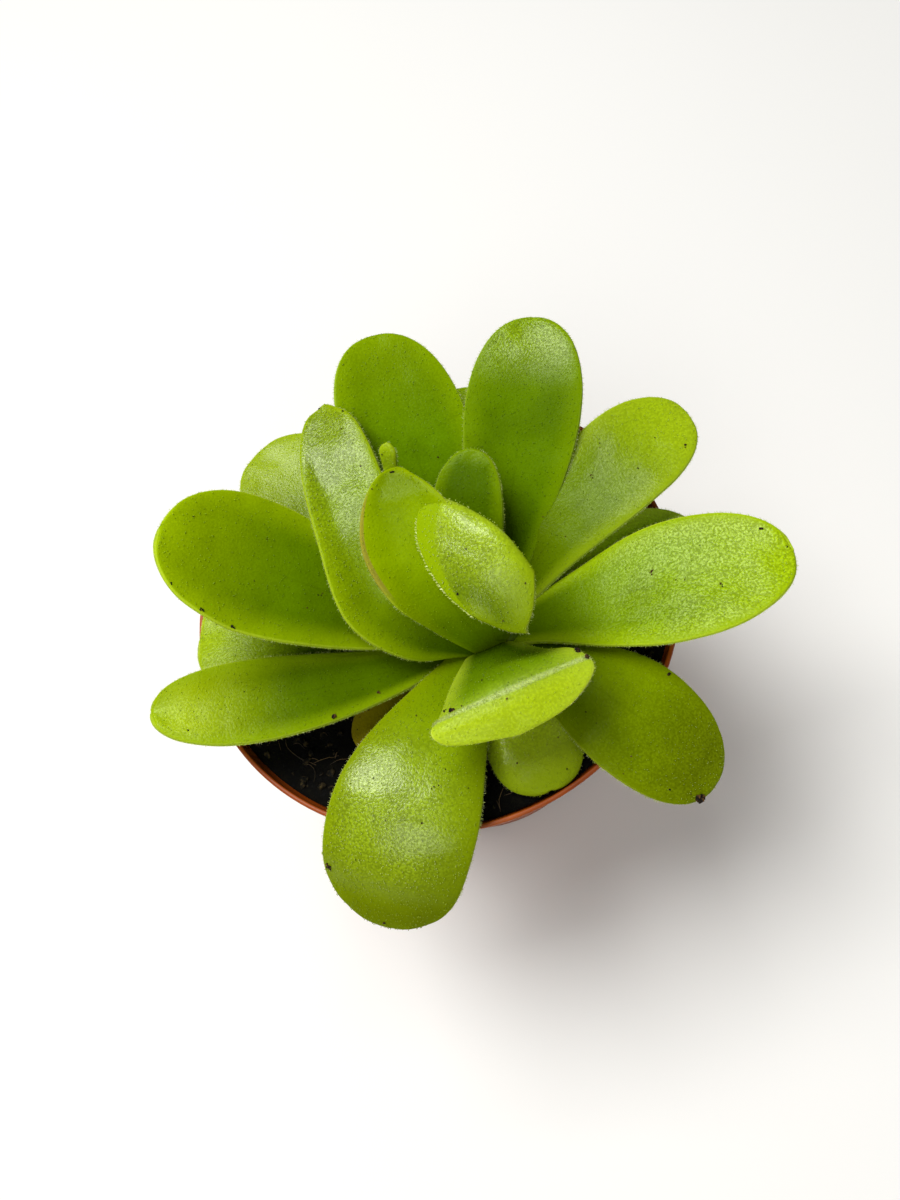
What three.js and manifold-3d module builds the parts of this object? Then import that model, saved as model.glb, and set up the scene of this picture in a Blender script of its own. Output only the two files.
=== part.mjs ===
// Butterwort (Pinguicula): a rosette of thick, sticky leaves growing in a small nursery pot.
// Millimetres, +Z up. The origin is the centre of the pot's flat underside.
// The pot, the peat, the short stem and every leaf are separate closed solids.

import * as THREE from 'three';
import { mergeVertices } from 'three/addons/utils/BufferGeometryUtils.js';
import Module from 'manifold-3d';

const wasm = await Module();
wasm.setup();

// ---------------------------------------------------------------- driving dimensions

const GAP = 0.3;                    // air kept between pieces that touch

const POT = {
  height: 64,                       // underside to the top of the rim
  rimRadius: 42.5,
  rimWidth: 0.8,                    // seen from above
  rimBand: 3.4,                     // height of the stepped-out band
  baseRadius: 29,
  wall: 1,
  floor: 1.4,
  sides: 40,
  holes: 6,                         // drainage holes round the floor
  holeRadius: 3.2,
  holeCircle: 20,
};

const PEAT = {
  top: 56.8,                        // mean height of the surface round the stem
  heap: 5.4,                        // how much higher it lies at the pot's wall
  heapFrom: 24,                     // distance from the axis at which it starts to rise
  bump: 0.5,                        // unevenness of the surface
  rings: 9,
};

const STEM = {
  x: 7.5,                           // the rosette grows a little off the pot's centre
  y: -11,
  rootLength: 12,                   // tapered root end, below the peat's surface
  rootRadius: 2.2,
  neckRadius: 4,
  crownRadius: 5.4,
  crownHeight: 66,
  sides: 20,
};

// Leaves whose midrib is a plain arc. Angles are in degrees.
// heading: direction seen from above, counted from +X towards +Y; turn: its change to the tip.
// rise, tip: slope of the midrib at the base and at the tip; roll: twist about the midrib.
// cup: half angle of the cross-section's arc, negative where the blade is domed.
// foot: height of the base; widest: where along the leaf it is widest.
// late: above 1 where the midrib bends mostly near the tip.
const ARCHED_LEAVES = {
  leaf_inner_right: { heading: 92, turn: -42, length: 29, width: 12, rise: 58, tip: 28, foot: 64 },
  leaf_right: { heading: 346, turn: 2, length: 47.5, width: 21, rise: 26, tip: 12, foot: 62 },
  leaf_back_left: {
    heading: 97, turn: -8.5, length: 53.5, width: 22, rise: 34, tip: 17, roll: 8, foot: 62, widest: 0.66,
  },
  leaf_back: { heading: 58, turn: 5, length: 52, width: 20, rise: 34, tip: 18, foot: 62, widest: 0.68 },
  leaf_left_broad: {
    heading: 156, turn: -11.5, length: 55, width: 25.5, rise: 22, tip: 36, roll: 10, foot: 62, widest: 0.7,
  },
  leaf_back_right: {
    heading: 34, turn: -20, length: 48, width: 17.5, rise: 38, tip: 2, roll: 6, foot: 61, widest: 0.72,
  },
  leaf_left_narrow: {
    heading: 191, turn: -25, length: 55.3, width: 14.3, rise: 19, tip: 11, roll: -3, foot: 61, cup: 18,
    widest: 0.7,
  },
  leaf_front: {
    heading: 227.5, turn: 10, length: 57.5, width: 23.5, rise: 26.5, tip: -72, roll: -6, foot: 61.6, cup: -11,
    late: 1.5,
  },
  leaf_front_right: {
    heading: 306, turn: -2, length: 43.5, width: 19.5, rise: 24, tip: -36, foot: 61.35, cup: -6,
  },
  leaf_low_right: { heading: 3, turn: -5, length: 37, width: 21, rise: 18, tip: 0, roll: 6, foot: 60 },
  leaf_low_back_left: { heading: 124.5, turn: -2, length: 52.5, width: 25, rise: 22, tip: 6, foot: 60 },
  leaf_low_left: {
    heading: 161, turn: 0, length: 49, width: 23, rise: 15, tip: -2, foot: 60, blunt: 3,
  },
  leaf_low_back: { heading: 78, turn: 0, length: 46, width: 19, rise: 16, tip: 8, foot: 59 },
  leaf_small_front: {
    heading: 270, turn: 0, length: 26.7, width: 15.5, rise: 14, tip: -16, foot: 63.4, cup: -24, widest: 0.66,
    blunt: 2.6, late: 1.2,
  },
  leaf_old: { heading: 202, turn: 0, length: 27, width: 13, rise: 6, tip: 5, foot: 58.5, thick: 1 },
};

// What an arched leaf has where its own line doesn't say otherwise.
const USUAL_LEAF = {
  roll: 0, cup: 12, widest: 0.62, stalk: 0.36, blunt: 2.2, thick: 1.8, out: 3, channel: 35, late: 1,
};

// Leaves that fold or roll. Each line of points runs from the base towards the tip, where the
// lines meet; seen from the tip's side, left and right are the margins.
const FOLDED_LEAVES = {
  leaf_heart: {
    thick: 1.6,
    left: [[7, -14, 66], [6.5, -12, 78], [4.5, 1.5, 91], [1, -4, 89.5], [2, -13, 87.5]],
    middle: [[8, -14, 66], [9.5, -13.5, 79], [11.5, -8.5, 92], [9, -12.5, 90.5], [6.5, -15.5, 88]],
    right: [[9.5, -14.5, 66], [12.5, -16, 78], [15, -16.5, 89.5], [13, -21, 87], [10.5, -22.5, 85]],
    tip: [5, -18.5, 86],
  },
  leaf_cupped: {
    thick: 1.6,
    left: [
      [4, -14.5, 63.5], [-1.5, -13.5, 76], [-6, -10.5, 84], [-7.5, -3.5, 89], [-5, 3, 91.5], [-1.5, 6.5, 92],
    ],
    crease: [
      [5.5, -14.5, 63.5], [1.5, -13, 75.5], [-1.5, -8.5, 83], [-3, -2, 88], [-2.5, 2.5, 90.5], [0, 6.5, 91.5],
    ],
    middle: [[8, -14, 63.5], [6, -13, 76], [4.5, -9, 84.5], [3, -2.5, 89], [2.5, 1.5, 91], [2.5, 4.5, 91.5]],
    right: [[9.5, -14, 64], [10, -13, 76], [9.5, -11, 84], [8.5, -7, 89.5], [7, -2.5, 92], [5, 2, 92.5]],
    tip: [2, 7, 91.5],
  },
  leaf_tall_left: {
    thick: 1.8,
    left: [
      [2.5, -14.5, 64.5], [-7, -14.5, 71], [-14, -8, 77],
      [-14.5, 6.5, 82], [-13.5, 19.5, 84], [-10.5, 27.5, 84],
    ],
    crease: [
      [4, -14.5, 64], [-4, -11.5, 70], [-9.5, -4, 76], [-11, 9, 81], [-11, 20.5, 83.5], [-8.5, 28, 84],
    ],
    middle: [
      [5.5, -14.5, 64], [0, -10.5, 70], [-5, -3, 77], [-6, 9.5, 81.5], [-6.5, 19.5, 84], [-5.5, 26.5, 84.5],
    ],
    right: [[7, -14.5, 64.5], [3, -11, 71], [0, -2, 78.5], [-1, 9.5, 83], [-1.5, 18.5, 85], [-3, 25, 85.5]],
    tip: [-6.5, 29.5, 84.5],
  },
  leaf_curled_tip: {
    thick: 1.2,
    left: [[4.5, -14, 65], [1, -10, 70], [-1, -2, 75], [-1, 7, 80.5], [-0.5, 12.5, 86], [0, 14, 88.5]],
    middle: [
      [5.5, -14, 65], [2, -9.5, 70], [0.5, -1.5, 75],
      [0.5, 6.5, 80.5], [0.5, 12, 86], [1, 13.5, 88.5],
    ],
    right: [[6.5, -14, 65], [3.5, -10, 71], [1.5, -2, 76], [1.5, 6, 81.5], [1.5, 11, 86], [2, 12.5, 88.5]],
    tip: [1.5, 14, 89],
  },
  leaf_folded_front: {
    thick: 1.8,
    left: [[2.5, -13.5, 62.5], [-1.5, -21.5, 72], [-4.5, -28.5, 79.5], [-6.5, -31, 80.5], [-5, -33, 80]],
    middle: [[6, -13.5, 62], [6.5, -22, 74], [6, -27.5, 81.5], [5.5, -31, 81.5], [5, -33.5, 80.5]],
    right: [[9, -13.5, 63], [14, -22, 74], [18, -26.5, 80.5], [19, -29.5, 81], [14, -33.5, 80.5]],
    tip: [5, -35, 79.5],
  },
};

// The leaves that stay whole come first; each later one is cut clear of those before it.
const CUTTING_ORDER = [...Object.keys(FOLDED_LEAVES), ...Object.keys(ARCHED_LEAVES)];

const COLOURS = {
  leaf: 0x9abf2c,
  oldLeaf: 0x9a8a4a,
  stem: 0x8fae3c,
  pot: 0xa5532b,
  peat: 0x1f1813,
};

const ROWS = 14;                    // faces along a leaf
const COLUMNS = 6;                  // faces across a leaf
const SPINE_STEPS = 96;             // steps in which a midrib is laid out

// ---------------------------------------------------------------- small helpers

const radians = THREE.MathUtils.degToRad;
const { lerp, smoothstep, clamp } = THREE.MathUtils;

function toSolid(geometry) {
  const bare = geometry.clone();
  bare.deleteAttribute('normal');
  bare.deleteAttribute('uv');
  const merged = mergeVertices(bare, 1e-4);
  return new wasm.Manifold(new wasm.Mesh({
    numProp: 3,
    vertProperties: new Float32Array(merged.attributes.position.array),
    triVerts: new Uint32Array(merged.index.array),
  }));
}

function toGeometry(solid) {
  const mesh = solid.getMesh();
  const geometry = new THREE.BufferGeometry();
  geometry.setAttribute('position', new THREE.BufferAttribute(mesh.vertProperties, 3));
  geometry.setIndex(new THREE.BufferAttribute(mesh.triVerts, 1));
  geometry.computeVertexNormals();
  return geometry;
}

function largestPiece(solid) {
  return solid.decompose().reduce((best, piece) => (piece.volume() > best.volume() ? piece : best));
}

function turned(profile, sides) {
  const points = profile.map(([radius, height]) => new THREE.Vector2(radius, height));
  return new THREE.LatheGeometry(points, sides).rotateX(Math.PI / 2);
}

// ---------------------------------------------------------------- pot, peat and stem

// Outside of the pot, from the centre of its underside to the top of the rim.
function potOutside() {
  const { baseRadius, rimRadius, rimWidth, rimBand, height } = POT;
  const step = height - rimBand;
  return [
    [0, 0],
    [baseRadius - 1.2, 0],
    [baseRadius - 0.2, 0.5],
    [baseRadius + 0.2, 1.6],
    [rimRadius - 2.3, step - 0.5],
    [rimRadius - 1, step],
    [rimRadius - 0.25, height - 1.3],
    [rimRadius - 0.4, height - 1.1],
    [rimRadius - 0.12, height - 0.9],
    [rimRadius, height - 0.5],
    [rimRadius - 0.25, height - 0.06],
    [rimRadius - rimWidth / 2, height],
    [rimRadius - rimWidth + 0.1, height - 0.2],
  ];
}

// Inside of the pot, from the rim down to the centre of its floor.
function potInside() {
  const { baseRadius, rimRadius, rimWidth, rimBand, height, wall, floor } = POT;
  return [
    [rimRadius - rimWidth, height - 0.6],
    [rimRadius - rimWidth - 0.5, height - rimBand + 1],
    [rimRadius - 2.3 - wall, height - rimBand - 0.2],
    [baseRadius + 0.2 - wall, floor + 1.2],
    [baseRadius - 1.4 - wall, floor],
    [0, floor],
  ];
}

function innerRadius(z) {
  const low = POT.baseRadius + 0.2 - POT.wall;
  const high = POT.rimRadius - 2.3 - POT.wall;
  return lerp(low, high, (z - POT.floor - 1.2) / (POT.height - POT.rimBand - 1.4 - POT.floor));
}

function makePot() {
  let solid = toSolid(turned([...potOutside(), ...potInside()], POT.sides));
  for (let i = 0; i < POT.holes; i += 1) {
    const angle = (i + 0.5) * 2 * Math.PI / POT.holes;
    const drill = new THREE.CylinderGeometry(POT.holeRadius, POT.holeRadius, 6, 12).rotateX(Math.PI / 2);
    drill.translate(POT.holeCircle * Math.cos(angle), POT.holeCircle * Math.sin(angle), POT.floor / 2);
    solid = solid.subtract(toSolid(drill));
  }
  return solid;
}

// The peat is uneven, and heaped up towards the pot's wall.
function peatHeight(x, y) {
  const waves = Math.sin(x * 0.31 + y * 0.17) + Math.sin(y * 0.37 - x * 0.12 + 1.3)
    + Math.sin(x * 0.83 + 2) * Math.cos(y * 0.71);
  const heaped = smoothstep(Math.hypot(x, y), PEAT.heapFrom, POT.rimRadius - POT.rimWidth);
  return PEAT.top + PEAT.heap * heaped + PEAT.bump * (1 - 0.7 * heaped) * waves / 2.5;
}

// Side of the plug of peat: up the pot's wall, over the ledge below the rim and up to the surface.
function peatSide() {
  const step = POT.height - POT.rimBand;
  const rimInside = POT.rimRadius - POT.rimWidth;
  return [
    [innerRadius(POT.floor + 1.2) - 1.8, POT.floor + GAP],
    [innerRadius(POT.floor + 1.2 + GAP) - GAP, POT.floor + 1.2 + GAP],
    [innerRadius(step - 0.2) - GAP, step],
    [rimInside - 0.48 - GAP, step + 1 + GAP],
  ];
}

function makePeat() {
  const edge = POT.rimRadius - POT.rimWidth - 0.4 - GAP;
  const profile = [[0, POT.floor + GAP], ...peatSide()];
  for (let i = PEAT.rings; i >= 0; i -= 1) {
    profile.push([edge * i / PEAT.rings, POT.height]);
  }
  const geometry = turned(profile, POT.sides);
  const position = geometry.attributes.position;
  for (let i = 0; i < position.count; i += 1) {
    if (position.getZ(i) > POT.height - 0.01) {
      position.setZ(i, peatHeight(position.getX(i), position.getY(i)));
    }
  }
  return toSolid(geometry).subtract(toSolid(stemForm(GAP)));
}

// The stem's outside; extra widens it, to make the plain hole in the peat that it stands in.
function stemForm(extra) {
  const { x, y, rootLength, rootRadius, neckRadius, crownRadius, crownHeight, sides } = STEM;
  const root = PEAT.top - rootLength;
  const profile = [
    [0, root - extra],
    [rootRadius + extra, root - extra],
    [neckRadius + extra, PEAT.top - 2],
    [neckRadius + 0.5 + extra, PEAT.top + 1.5],
    [crownRadius + extra, PEAT.top + 4],
    [crownRadius - 0.6 + extra, crownHeight - 2.4 + extra],
    [crownRadius - 2.6 + extra, crownHeight - 0.4 + extra],
    [0, crownHeight + extra],
  ];
  return turned(profile, sides).translate(x, y, 0);
}

// ---------------------------------------------------------------- leaves

// Rows of points on a blade's middle surface become a closed sheet of the given thickness.
function thickSheet(grid, halfThickness, extra) {
  const rows = grid.length - 1;
  const columns = grid[0].length - 1;
  const positions = [];
  for (let i = 0; i <= rows; i += 1) {
    const upper = [];
    const lower = [];
    for (let j = 0; j <= columns; j += 1) {
      const normal = sheetNormal(grid, i, j).multiplyScalar(halfThickness(i, j) + extra);
      const middle = spread(grid, i, j, extra);
      upper.push(middle.clone().add(normal));
      lower.unshift(middle.clone().sub(normal));
    }
    [...upper, ...lower].forEach((point) => positions.push(...point.toArray()));
  }
  return sheetGeometry(positions, rows, columns);
}

function sheetNormal(grid, i, j) {
  const row = clamp(i, 1, grid.length - 2);
  const along = grid[row + 1][j].clone().sub(grid[row - 1][j]);
  const last = grid[0].length - 1;
  const across = grid[row][Math.min(j + 1, last)].clone().sub(grid[row][Math.max(j - 1, 0)]);
  return along.cross(across).normalize();
}

// Moves a point on the sheet's margin or end outwards.
function spread(grid, i, j, extra) {
  const [end, last] = [grid.length - 1, grid[0].length - 1];
  const point = grid[i][j].clone();
  if (extra > 0 && (j === 0 || j === last)) {
    const inner = grid[i][j === 0 ? 1 : last - 1];
    point.add(grid[i][j].clone().sub(inner).setLength(extra));
  }
  if (extra > 0 && (i === 0 || i === end)) {
    const across = grid[i][last].clone().sub(grid[i][0]);
    const backwards = sheetNormal(grid, i, j).cross(across).normalize();
    point.addScaledVector(backwards, i === 0 ? extra : -extra);
  }
  return point;
}

function sheetGeometry(positions, rows, columns) {
  const ring = 2 * (columns + 1);
  const indices = [];
  for (let i = 0; i < rows; i += 1) {
    for (let k = 0; k < ring; k += 1) {
      const next = (k + 1) % ring;
      const [a, b] = [i * ring + k, i * ring + next];
      const [c, d] = [a + ring, b + ring];
      // Both faces of the blade are split along the same diagonals.
      indices.push(...(k <= columns ? [a, c, d, a, d, b] : [a, c, b, b, c, d]));
    }
  }
  closeEnd(positions, indices, 0, ring, false);
  closeEnd(positions, indices, rows * ring, ring, true);
  const geometry = new THREE.BufferGeometry();
  geometry.setAttribute('position', new THREE.Float32BufferAttribute(positions, 3));
  geometry.setIndex(indices);
  return geometry;
}

function closeEnd(positions, indices, first, ring, atTip) {
  const centre = positions.length / 3;
  const middle = new THREE.Vector3();
  for (let k = 0; k < ring; k += 1) {
    middle.add(new THREE.Vector3().fromArray(positions, 3 * (first + k)));
  }
  positions.push(...middle.divideScalar(ring).toArray());
  for (let k = 0; k < ring; k += 1) {
    const pair = [first + k, first + (k + 1) % ring];
    indices.push(centre, ...(atTip ? pair.reverse() : pair));
  }
}

// Places and axes along the midrib of an arched leaf, in even steps.
function midrib(leaf) {
  const point = new THREE.Vector3(STEM.x, STEM.y, leaf.foot);
  const start = radians(leaf.heading);
  point.add(new THREE.Vector3(Math.cos(start), Math.sin(start), 0).multiplyScalar(leaf.out));
  const steps = [];
  for (let i = 0; i <= SPINE_STEPS; i += 1) {
    const t = i / SPINE_STEPS;
    const slope = radians(lerp(leaf.rise, leaf.tip, smoothstep(t ** leaf.late, 0, 1)));
    const heading = radians(leaf.heading + leaf.turn * t);
    const side = new THREE.Vector3(-Math.sin(heading), Math.cos(heading), 0);
    const along = new THREE.Vector3(Math.cos(heading), Math.sin(heading), 0);
    along.multiplyScalar(Math.cos(slope)).setZ(Math.sin(slope));
    const up = along.clone().cross(side);
    const roll = radians(leaf.roll) * smoothstep(t, 0, 0.6);
    side.applyAxisAngle(along, roll);
    up.applyAxisAngle(along, roll);
    steps.push({ point: point.clone(), side, up });
    point.addScaledVector(along, leaf.length / SPINE_STEPS);
  }
  return steps;
}

// Half the width of an arched leaf: a stalk that widens to a rounded blade.
function halfWidth(leaf, t) {
  if (t < leaf.widest) {
    return leaf.width / 2 * lerp(leaf.stalk, 1, smoothstep(t / leaf.widest, 0, 1));
  }
  const past = (t - leaf.widest) / (1 - leaf.widest);
  return leaf.width / 2 * Math.max(1 - past ** leaf.blunt, 0.0004) ** (1 / leaf.blunt);
}

function archedGrid(leaf) {
  const spine = midrib(leaf);
  const grid = [];
  for (let i = 0; i <= ROWS; i += 1) {
    const step = Math.round(SPINE_STEPS * (1 - (1 - i / ROWS) ** 1.35));
    const t = step / SPINE_STEPS;
    const { point, side, up } = spine[step];
    const bend = radians(leaf.cup + leaf.channel * (1 - smoothstep(t, 0, 0.35)));
    const radius = halfWidth(leaf, t) / bend;
    const row = [];
    for (let j = 0; j <= COLUMNS; j += 1) {
      const angle = bend * (2 * j / COLUMNS - 1);
      row.push(point.clone().addScaledVector(side, radius * Math.sin(angle))
        .addScaledVector(up, radius * (1 - Math.cos(angle))));
    }
    grid.push(row);
  }
  return grid;
}

function foldedGrid(leaf) {
  const lines = ['left', 'crease', 'middle', 'right'].filter((key) => leaf[key]).map((key) => {
    const points = [...leaf[key], leaf.tip].map((point) => new THREE.Vector3(...point));
    return new THREE.CatmullRomCurve3(points);
  });
  const grid = [];
  for (let i = 0; i <= ROWS; i += 1) {
    const t = Math.min(i / ROWS, 0.99);
    const section = new THREE.CatmullRomCurve3(lines.map((line) => line.getPoint(t)));
    grid.push(Array.from({ length: COLUMNS + 1 }, (_, j) => section.getPoint(j / COLUMNS)));
  }
  return grid;
}

// A blade is thickest along its middle and thins to its margins and its tip.
function leafForm(name, extra) {
  const leaf = FOLDED_LEAVES[name] ?? { ...USUAL_LEAF, ...ARCHED_LEAVES[name] };
  const grid = FOLDED_LEAVES[name] ? foldedGrid(leaf) : archedGrid(leaf);
  const thickness = (i, j) => {
    const u = Math.abs(2 * j / COLUMNS - 1);
    const end = smoothstep(ROWS + 1 - i, 0, 4);
    return Math.max(leaf.thick / 2 * lerp(0.5, 1, end) * Math.sqrt(1 - 0.8 * u ** 3), 0.32);
  };
  return thickSheet(grid, thickness, extra);
}

// Each leaf is cut clear of the stem and of the leaves already placed.
function makeLeaves() {
  const taken = [toSolid(stemForm(GAP))];
  const leaves = {};
  CUTTING_ORDER.forEach((name) => {
    let solid = toSolid(leafForm(name, 0));
    taken.forEach((other) => {
      solid = solid.subtract(other);
    });
    leaves[name] = largestPiece(solid);
    taken.push(toSolid(leafForm(name, GAP)));
  });
  return leaves;
}

// ---------------------------------------------------------------- assembly

function addPiece(group, name, solid, colour, roughness) {
  const material = new THREE.MeshStandardMaterial({ color: colour, roughness, metalness: 0 });
  const mesh = new THREE.Mesh(toGeometry(solid), material);
  mesh.name = name;
  group.add(mesh);
}

const group = new THREE.Group();
addPiece(group, 'pot', makePot(), COLOURS.pot, 0.55);
addPiece(group, 'peat', makePeat(), COLOURS.peat, 1);
addPiece(group, 'stem', toSolid(stemForm(0)), COLOURS.stem, 0.5);
Object.entries(makeLeaves()).forEach(([name, solid]) => {
  addPiece(group, name, solid, name === 'leaf_old' ? COLOURS.oldLeaf : COLOURS.leaf, 0.35);
});

export default group;
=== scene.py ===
# A butterwort (Pinguicula): a rosette of thick, sticky leaves in a small round nursery pot.
# Shapes are worked out in millimetres and become metres, by MM, where a mesh is made.
# The origin is the centre of the pot's underside; +Z is up.

import math
from types import SimpleNamespace as Values

import bpy
import numpy as np
from mathutils import Matrix, Vector, noise


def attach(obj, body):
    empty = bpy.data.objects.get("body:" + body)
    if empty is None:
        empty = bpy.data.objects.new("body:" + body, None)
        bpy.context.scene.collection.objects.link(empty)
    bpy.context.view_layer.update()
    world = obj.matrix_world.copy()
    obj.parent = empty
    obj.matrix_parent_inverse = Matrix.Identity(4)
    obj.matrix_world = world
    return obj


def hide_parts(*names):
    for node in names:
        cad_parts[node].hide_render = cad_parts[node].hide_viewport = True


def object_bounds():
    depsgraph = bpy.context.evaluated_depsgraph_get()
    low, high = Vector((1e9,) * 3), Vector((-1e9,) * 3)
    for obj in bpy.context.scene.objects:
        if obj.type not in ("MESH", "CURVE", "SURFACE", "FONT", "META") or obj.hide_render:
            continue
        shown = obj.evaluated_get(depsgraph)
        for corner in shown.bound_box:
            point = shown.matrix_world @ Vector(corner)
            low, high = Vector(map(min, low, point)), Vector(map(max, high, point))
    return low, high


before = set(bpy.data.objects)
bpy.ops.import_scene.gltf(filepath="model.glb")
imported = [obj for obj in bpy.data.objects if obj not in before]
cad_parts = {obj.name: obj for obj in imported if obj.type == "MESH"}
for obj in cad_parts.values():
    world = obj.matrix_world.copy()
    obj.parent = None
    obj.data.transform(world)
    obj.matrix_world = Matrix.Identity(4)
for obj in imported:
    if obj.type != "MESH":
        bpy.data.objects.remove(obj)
cad_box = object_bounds()

# ---------------------------------------------------------------- driving dimensions

MM = 0.001
SEED = 11

POT = Values(
    height=64, rim_radius=42.5, rim_width=0.8, rim_band=3.4, base_radius=29, wall=1, floor=1.4, sides=144,
    holes=6, hole_radius=3.2, hole_circle=20
)
# The peat is at its top height round the stem, and lies higher by its heap at the pot's wall.
PEAT = Values(top=56.8, heap=5.4, heap_from=24, bump=0.5, gap=0.3, sides=168, rings=60)
LUMPS = ((0.9, 3.1), (0.55, 1.1))  # heights and sizes

# What lies on the peat; edge_gap is how far it stays from the pot's wall.
CRUMBS = Values(count=1500, smallest=0.15, growth=0.75, edge_gap=1.2)
GRAINS = Values(count=14, radius=(0.2, 0.5), edge_gap=1.5)
FIBRES = Values(
    count=420, radius=0.08, thickness=(0.4, 1.4), shortest=1, growth=9, points=9, curl=0.5, wander=0.15,
    clear=0.15, arch=0.5, edge_gap=2
)

STEM = Values(x=7.5, y=-11, root_radius=2.2, neck_radius=4, crown_radius=5.4, crown_height=66)

# Leaves whose midrib is a plain arc; angles in degrees, as in the solid part.
ARCHED_LEAVES = {
    "leaf_inner_right": dict(heading=92, turn=-42, length=29, width=12, rise=58, tip=28, foot=64),
    "leaf_right": dict(heading=346, turn=2, length=47.5, width=21, rise=26, tip=12, foot=62),
    "leaf_back_left": dict(
        heading=97, turn=-8.5, length=53.5, width=22, rise=34, tip=17, roll=8, foot=62, widest=0.66
    ),
    "leaf_back": dict(heading=58, turn=5, length=52, width=20, rise=34, tip=18, foot=62, widest=0.68),
    "leaf_left_broad": dict(
        heading=156, turn=-11.5, length=55, width=25.5, rise=22, tip=36, roll=10, foot=62, widest=0.7
    ),
    "leaf_back_right": dict(
        heading=34, turn=-20, length=48, width=17.5, rise=38, tip=2, roll=6, foot=61, widest=0.72
    ),
    "leaf_left_narrow": dict(
        heading=191, turn=-25, length=55.3, width=14.3, rise=19, tip=11, roll=-3, foot=61, cup=18, widest=0.7
    ),
    "leaf_front": dict(
        heading=227.5, turn=10, length=57.5, width=23.5, rise=26.5, tip=-72, roll=-6, foot=61.6, cup=-11,
        late=1.5
    ),
    "leaf_front_right": dict(
        heading=306, turn=-2, length=43.5, width=19.5, rise=24, tip=-36, foot=61.35, cup=-6
    ),
    "leaf_low_right": dict(heading=3, turn=-5, length=37, width=21, rise=18, tip=0, roll=6, foot=60),
    "leaf_low_back_left": dict(heading=124.5, turn=-2, length=52.5, width=25, rise=22, tip=6, foot=60),
    "leaf_low_left": dict(heading=161, turn=0, length=49, width=23, rise=15, tip=-2, foot=60, blunt=3),
    "leaf_low_back": dict(heading=78, turn=0, length=46, width=19, rise=16, tip=8, foot=59),
    "leaf_small_front": dict(
        heading=270, turn=0, length=26.7, width=15.5, rise=14, tip=-16, foot=63.4, cup=-24, widest=0.66,
        blunt=2.6, late=1.2
    ),
    "leaf_old": dict(heading=202, turn=0, length=27, width=13, rise=6, tip=5, foot=58.5, thick=1),
}
USUAL_LEAF = dict(roll=0, cup=12, widest=0.62, stalk=0.36, blunt=2.2, thick=1.8, out=3, channel=35, late=1)

# Leaves that fold or roll: lines of points from the base towards the tip, left to right.
FOLDED_LEAVES = {
    "leaf_heart": dict(
        thick=1.6,
        lines=[
            [(7, -14, 66), (6.5, -12, 78), (4.5, 1.5, 91), (1, -4, 89.5), (2, -13, 87.5)],
            [(8, -14, 66), (9.5, -13.5, 79), (11.5, -8.5, 92), (9, -12.5, 90.5), (6.5, -15.5, 88)],
            [(9.5, -14.5, 66), (12.5, -16, 78), (15, -16.5, 89.5), (13, -21, 87), (10.5, -22.5, 85)],
        ],
        tip=(5, -18.5, 86),
        corner=(0.8, (1.1, -0.3, -0.1)),
    ),
    "leaf_cupped": dict(
        thick=1.6,
        lines=[
            [
                (4, -14.5, 63.5), (-1.5, -13.5, 76), (-6, -10.5, 84),
                (-7.5, -3.5, 89), (-5, 3, 91.5), (-1.5, 6.5, 92),
            ],
            [
                (5.5, -14.5, 63.5), (1.5, -13, 75.5), (-1.5, -8.5, 83),
                (-3, -2, 88), (-2.5, 2.5, 90.5), (0, 6.5, 91.5),
            ],
            [(8, -14, 63.5), (6, -13, 76), (4.5, -9, 84.5), (3, -2.5, 89), (2.5, 1.5, 91), (2.5, 4.5, 91.5)],
            [(9.5, -14, 64), (10, -13, 76), (9.5, -11, 84), (8.5, -7, 89.5), (7, -2.5, 92), (5, 2, 92.5)],
        ],
        tip=(2, 7, 91.5),
    ),
    "leaf_tall_left": dict(
        thick=1.8,
        lines=[
            [
                (2.5, -14.5, 64.5), (-7, -14.5, 71), (-14, -8, 77),
                (-14.5, 6.5, 82), (-13.5, 19.5, 84), (-10.5, 27.5, 84),
            ],
            [(4, -14.5, 64), (-4, -11.5, 70), (-9.5, -4, 76), (-11, 9, 81), (-11, 20.5, 83.5), (-8.5, 28, 84)],
            [
                (5.5, -14.5, 64), (0, -10.5, 70), (-5, -3, 77),
                (-6, 9.5, 81.5), (-6.5, 19.5, 84), (-5.5, 26.5, 84.5),
            ],
            [(7, -14.5, 64.5), (3, -11, 71), (0, -2, 78.5), (-1, 9.5, 83), (-1.5, 18.5, 85), (-3, 25, 85.5)],
        ],
        tip=(-6.5, 29.5, 84.5),
    ),
    "leaf_curled_tip": dict(
        thick=1.2,
        lines=[
            [(4.5, -14, 65), (1, -10, 70), (-1, -2, 75), (-1, 7, 80.5), (-0.5, 12.5, 86), (0, 14, 88.5)],
            [(5.5, -14, 65), (2, -9.5, 70), (0.5, -1.5, 75), (0.5, 6.5, 80.5), (0.5, 12, 86), (1, 13.5, 88.5)],
            [(6.5, -14, 65), (3.5, -10, 71), (1.5, -2, 76), (1.5, 6, 81.5), (1.5, 11, 86), (2, 12.5, 88.5)],
        ],
        tip=(1.5, 14, 89),
    ),
    "leaf_folded_front": dict(
        thick=1.8,
        lines=[
            [(2.5, -13.5, 62.5), (-1.5, -21.5, 72), (-4.5, -28.5, 79.5), (-6.5, -31, 80.5), (-5, -33, 80)],
            [(6, -13.5, 62), (6.5, -22, 74), (6, -27.5, 81.5), (5.5, -31, 81.5), (5, -33.5, 80.5)],
            [(9, -13.5, 63), (14, -22, 74), (18, -26.5, 80.5), (19, -29.5, 81), (14, -33.5, 80.5)],
        ],
        tip=(5, -35, 79.5),
    ),
}

ROWS = 40  # faces along a leaf
COLUMNS = 16  # faces across it
SPINE_STEPS = 96  # along the midrib
TIP_CROWDING = 1.35  # how much closer together the faces are at the tip

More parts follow.
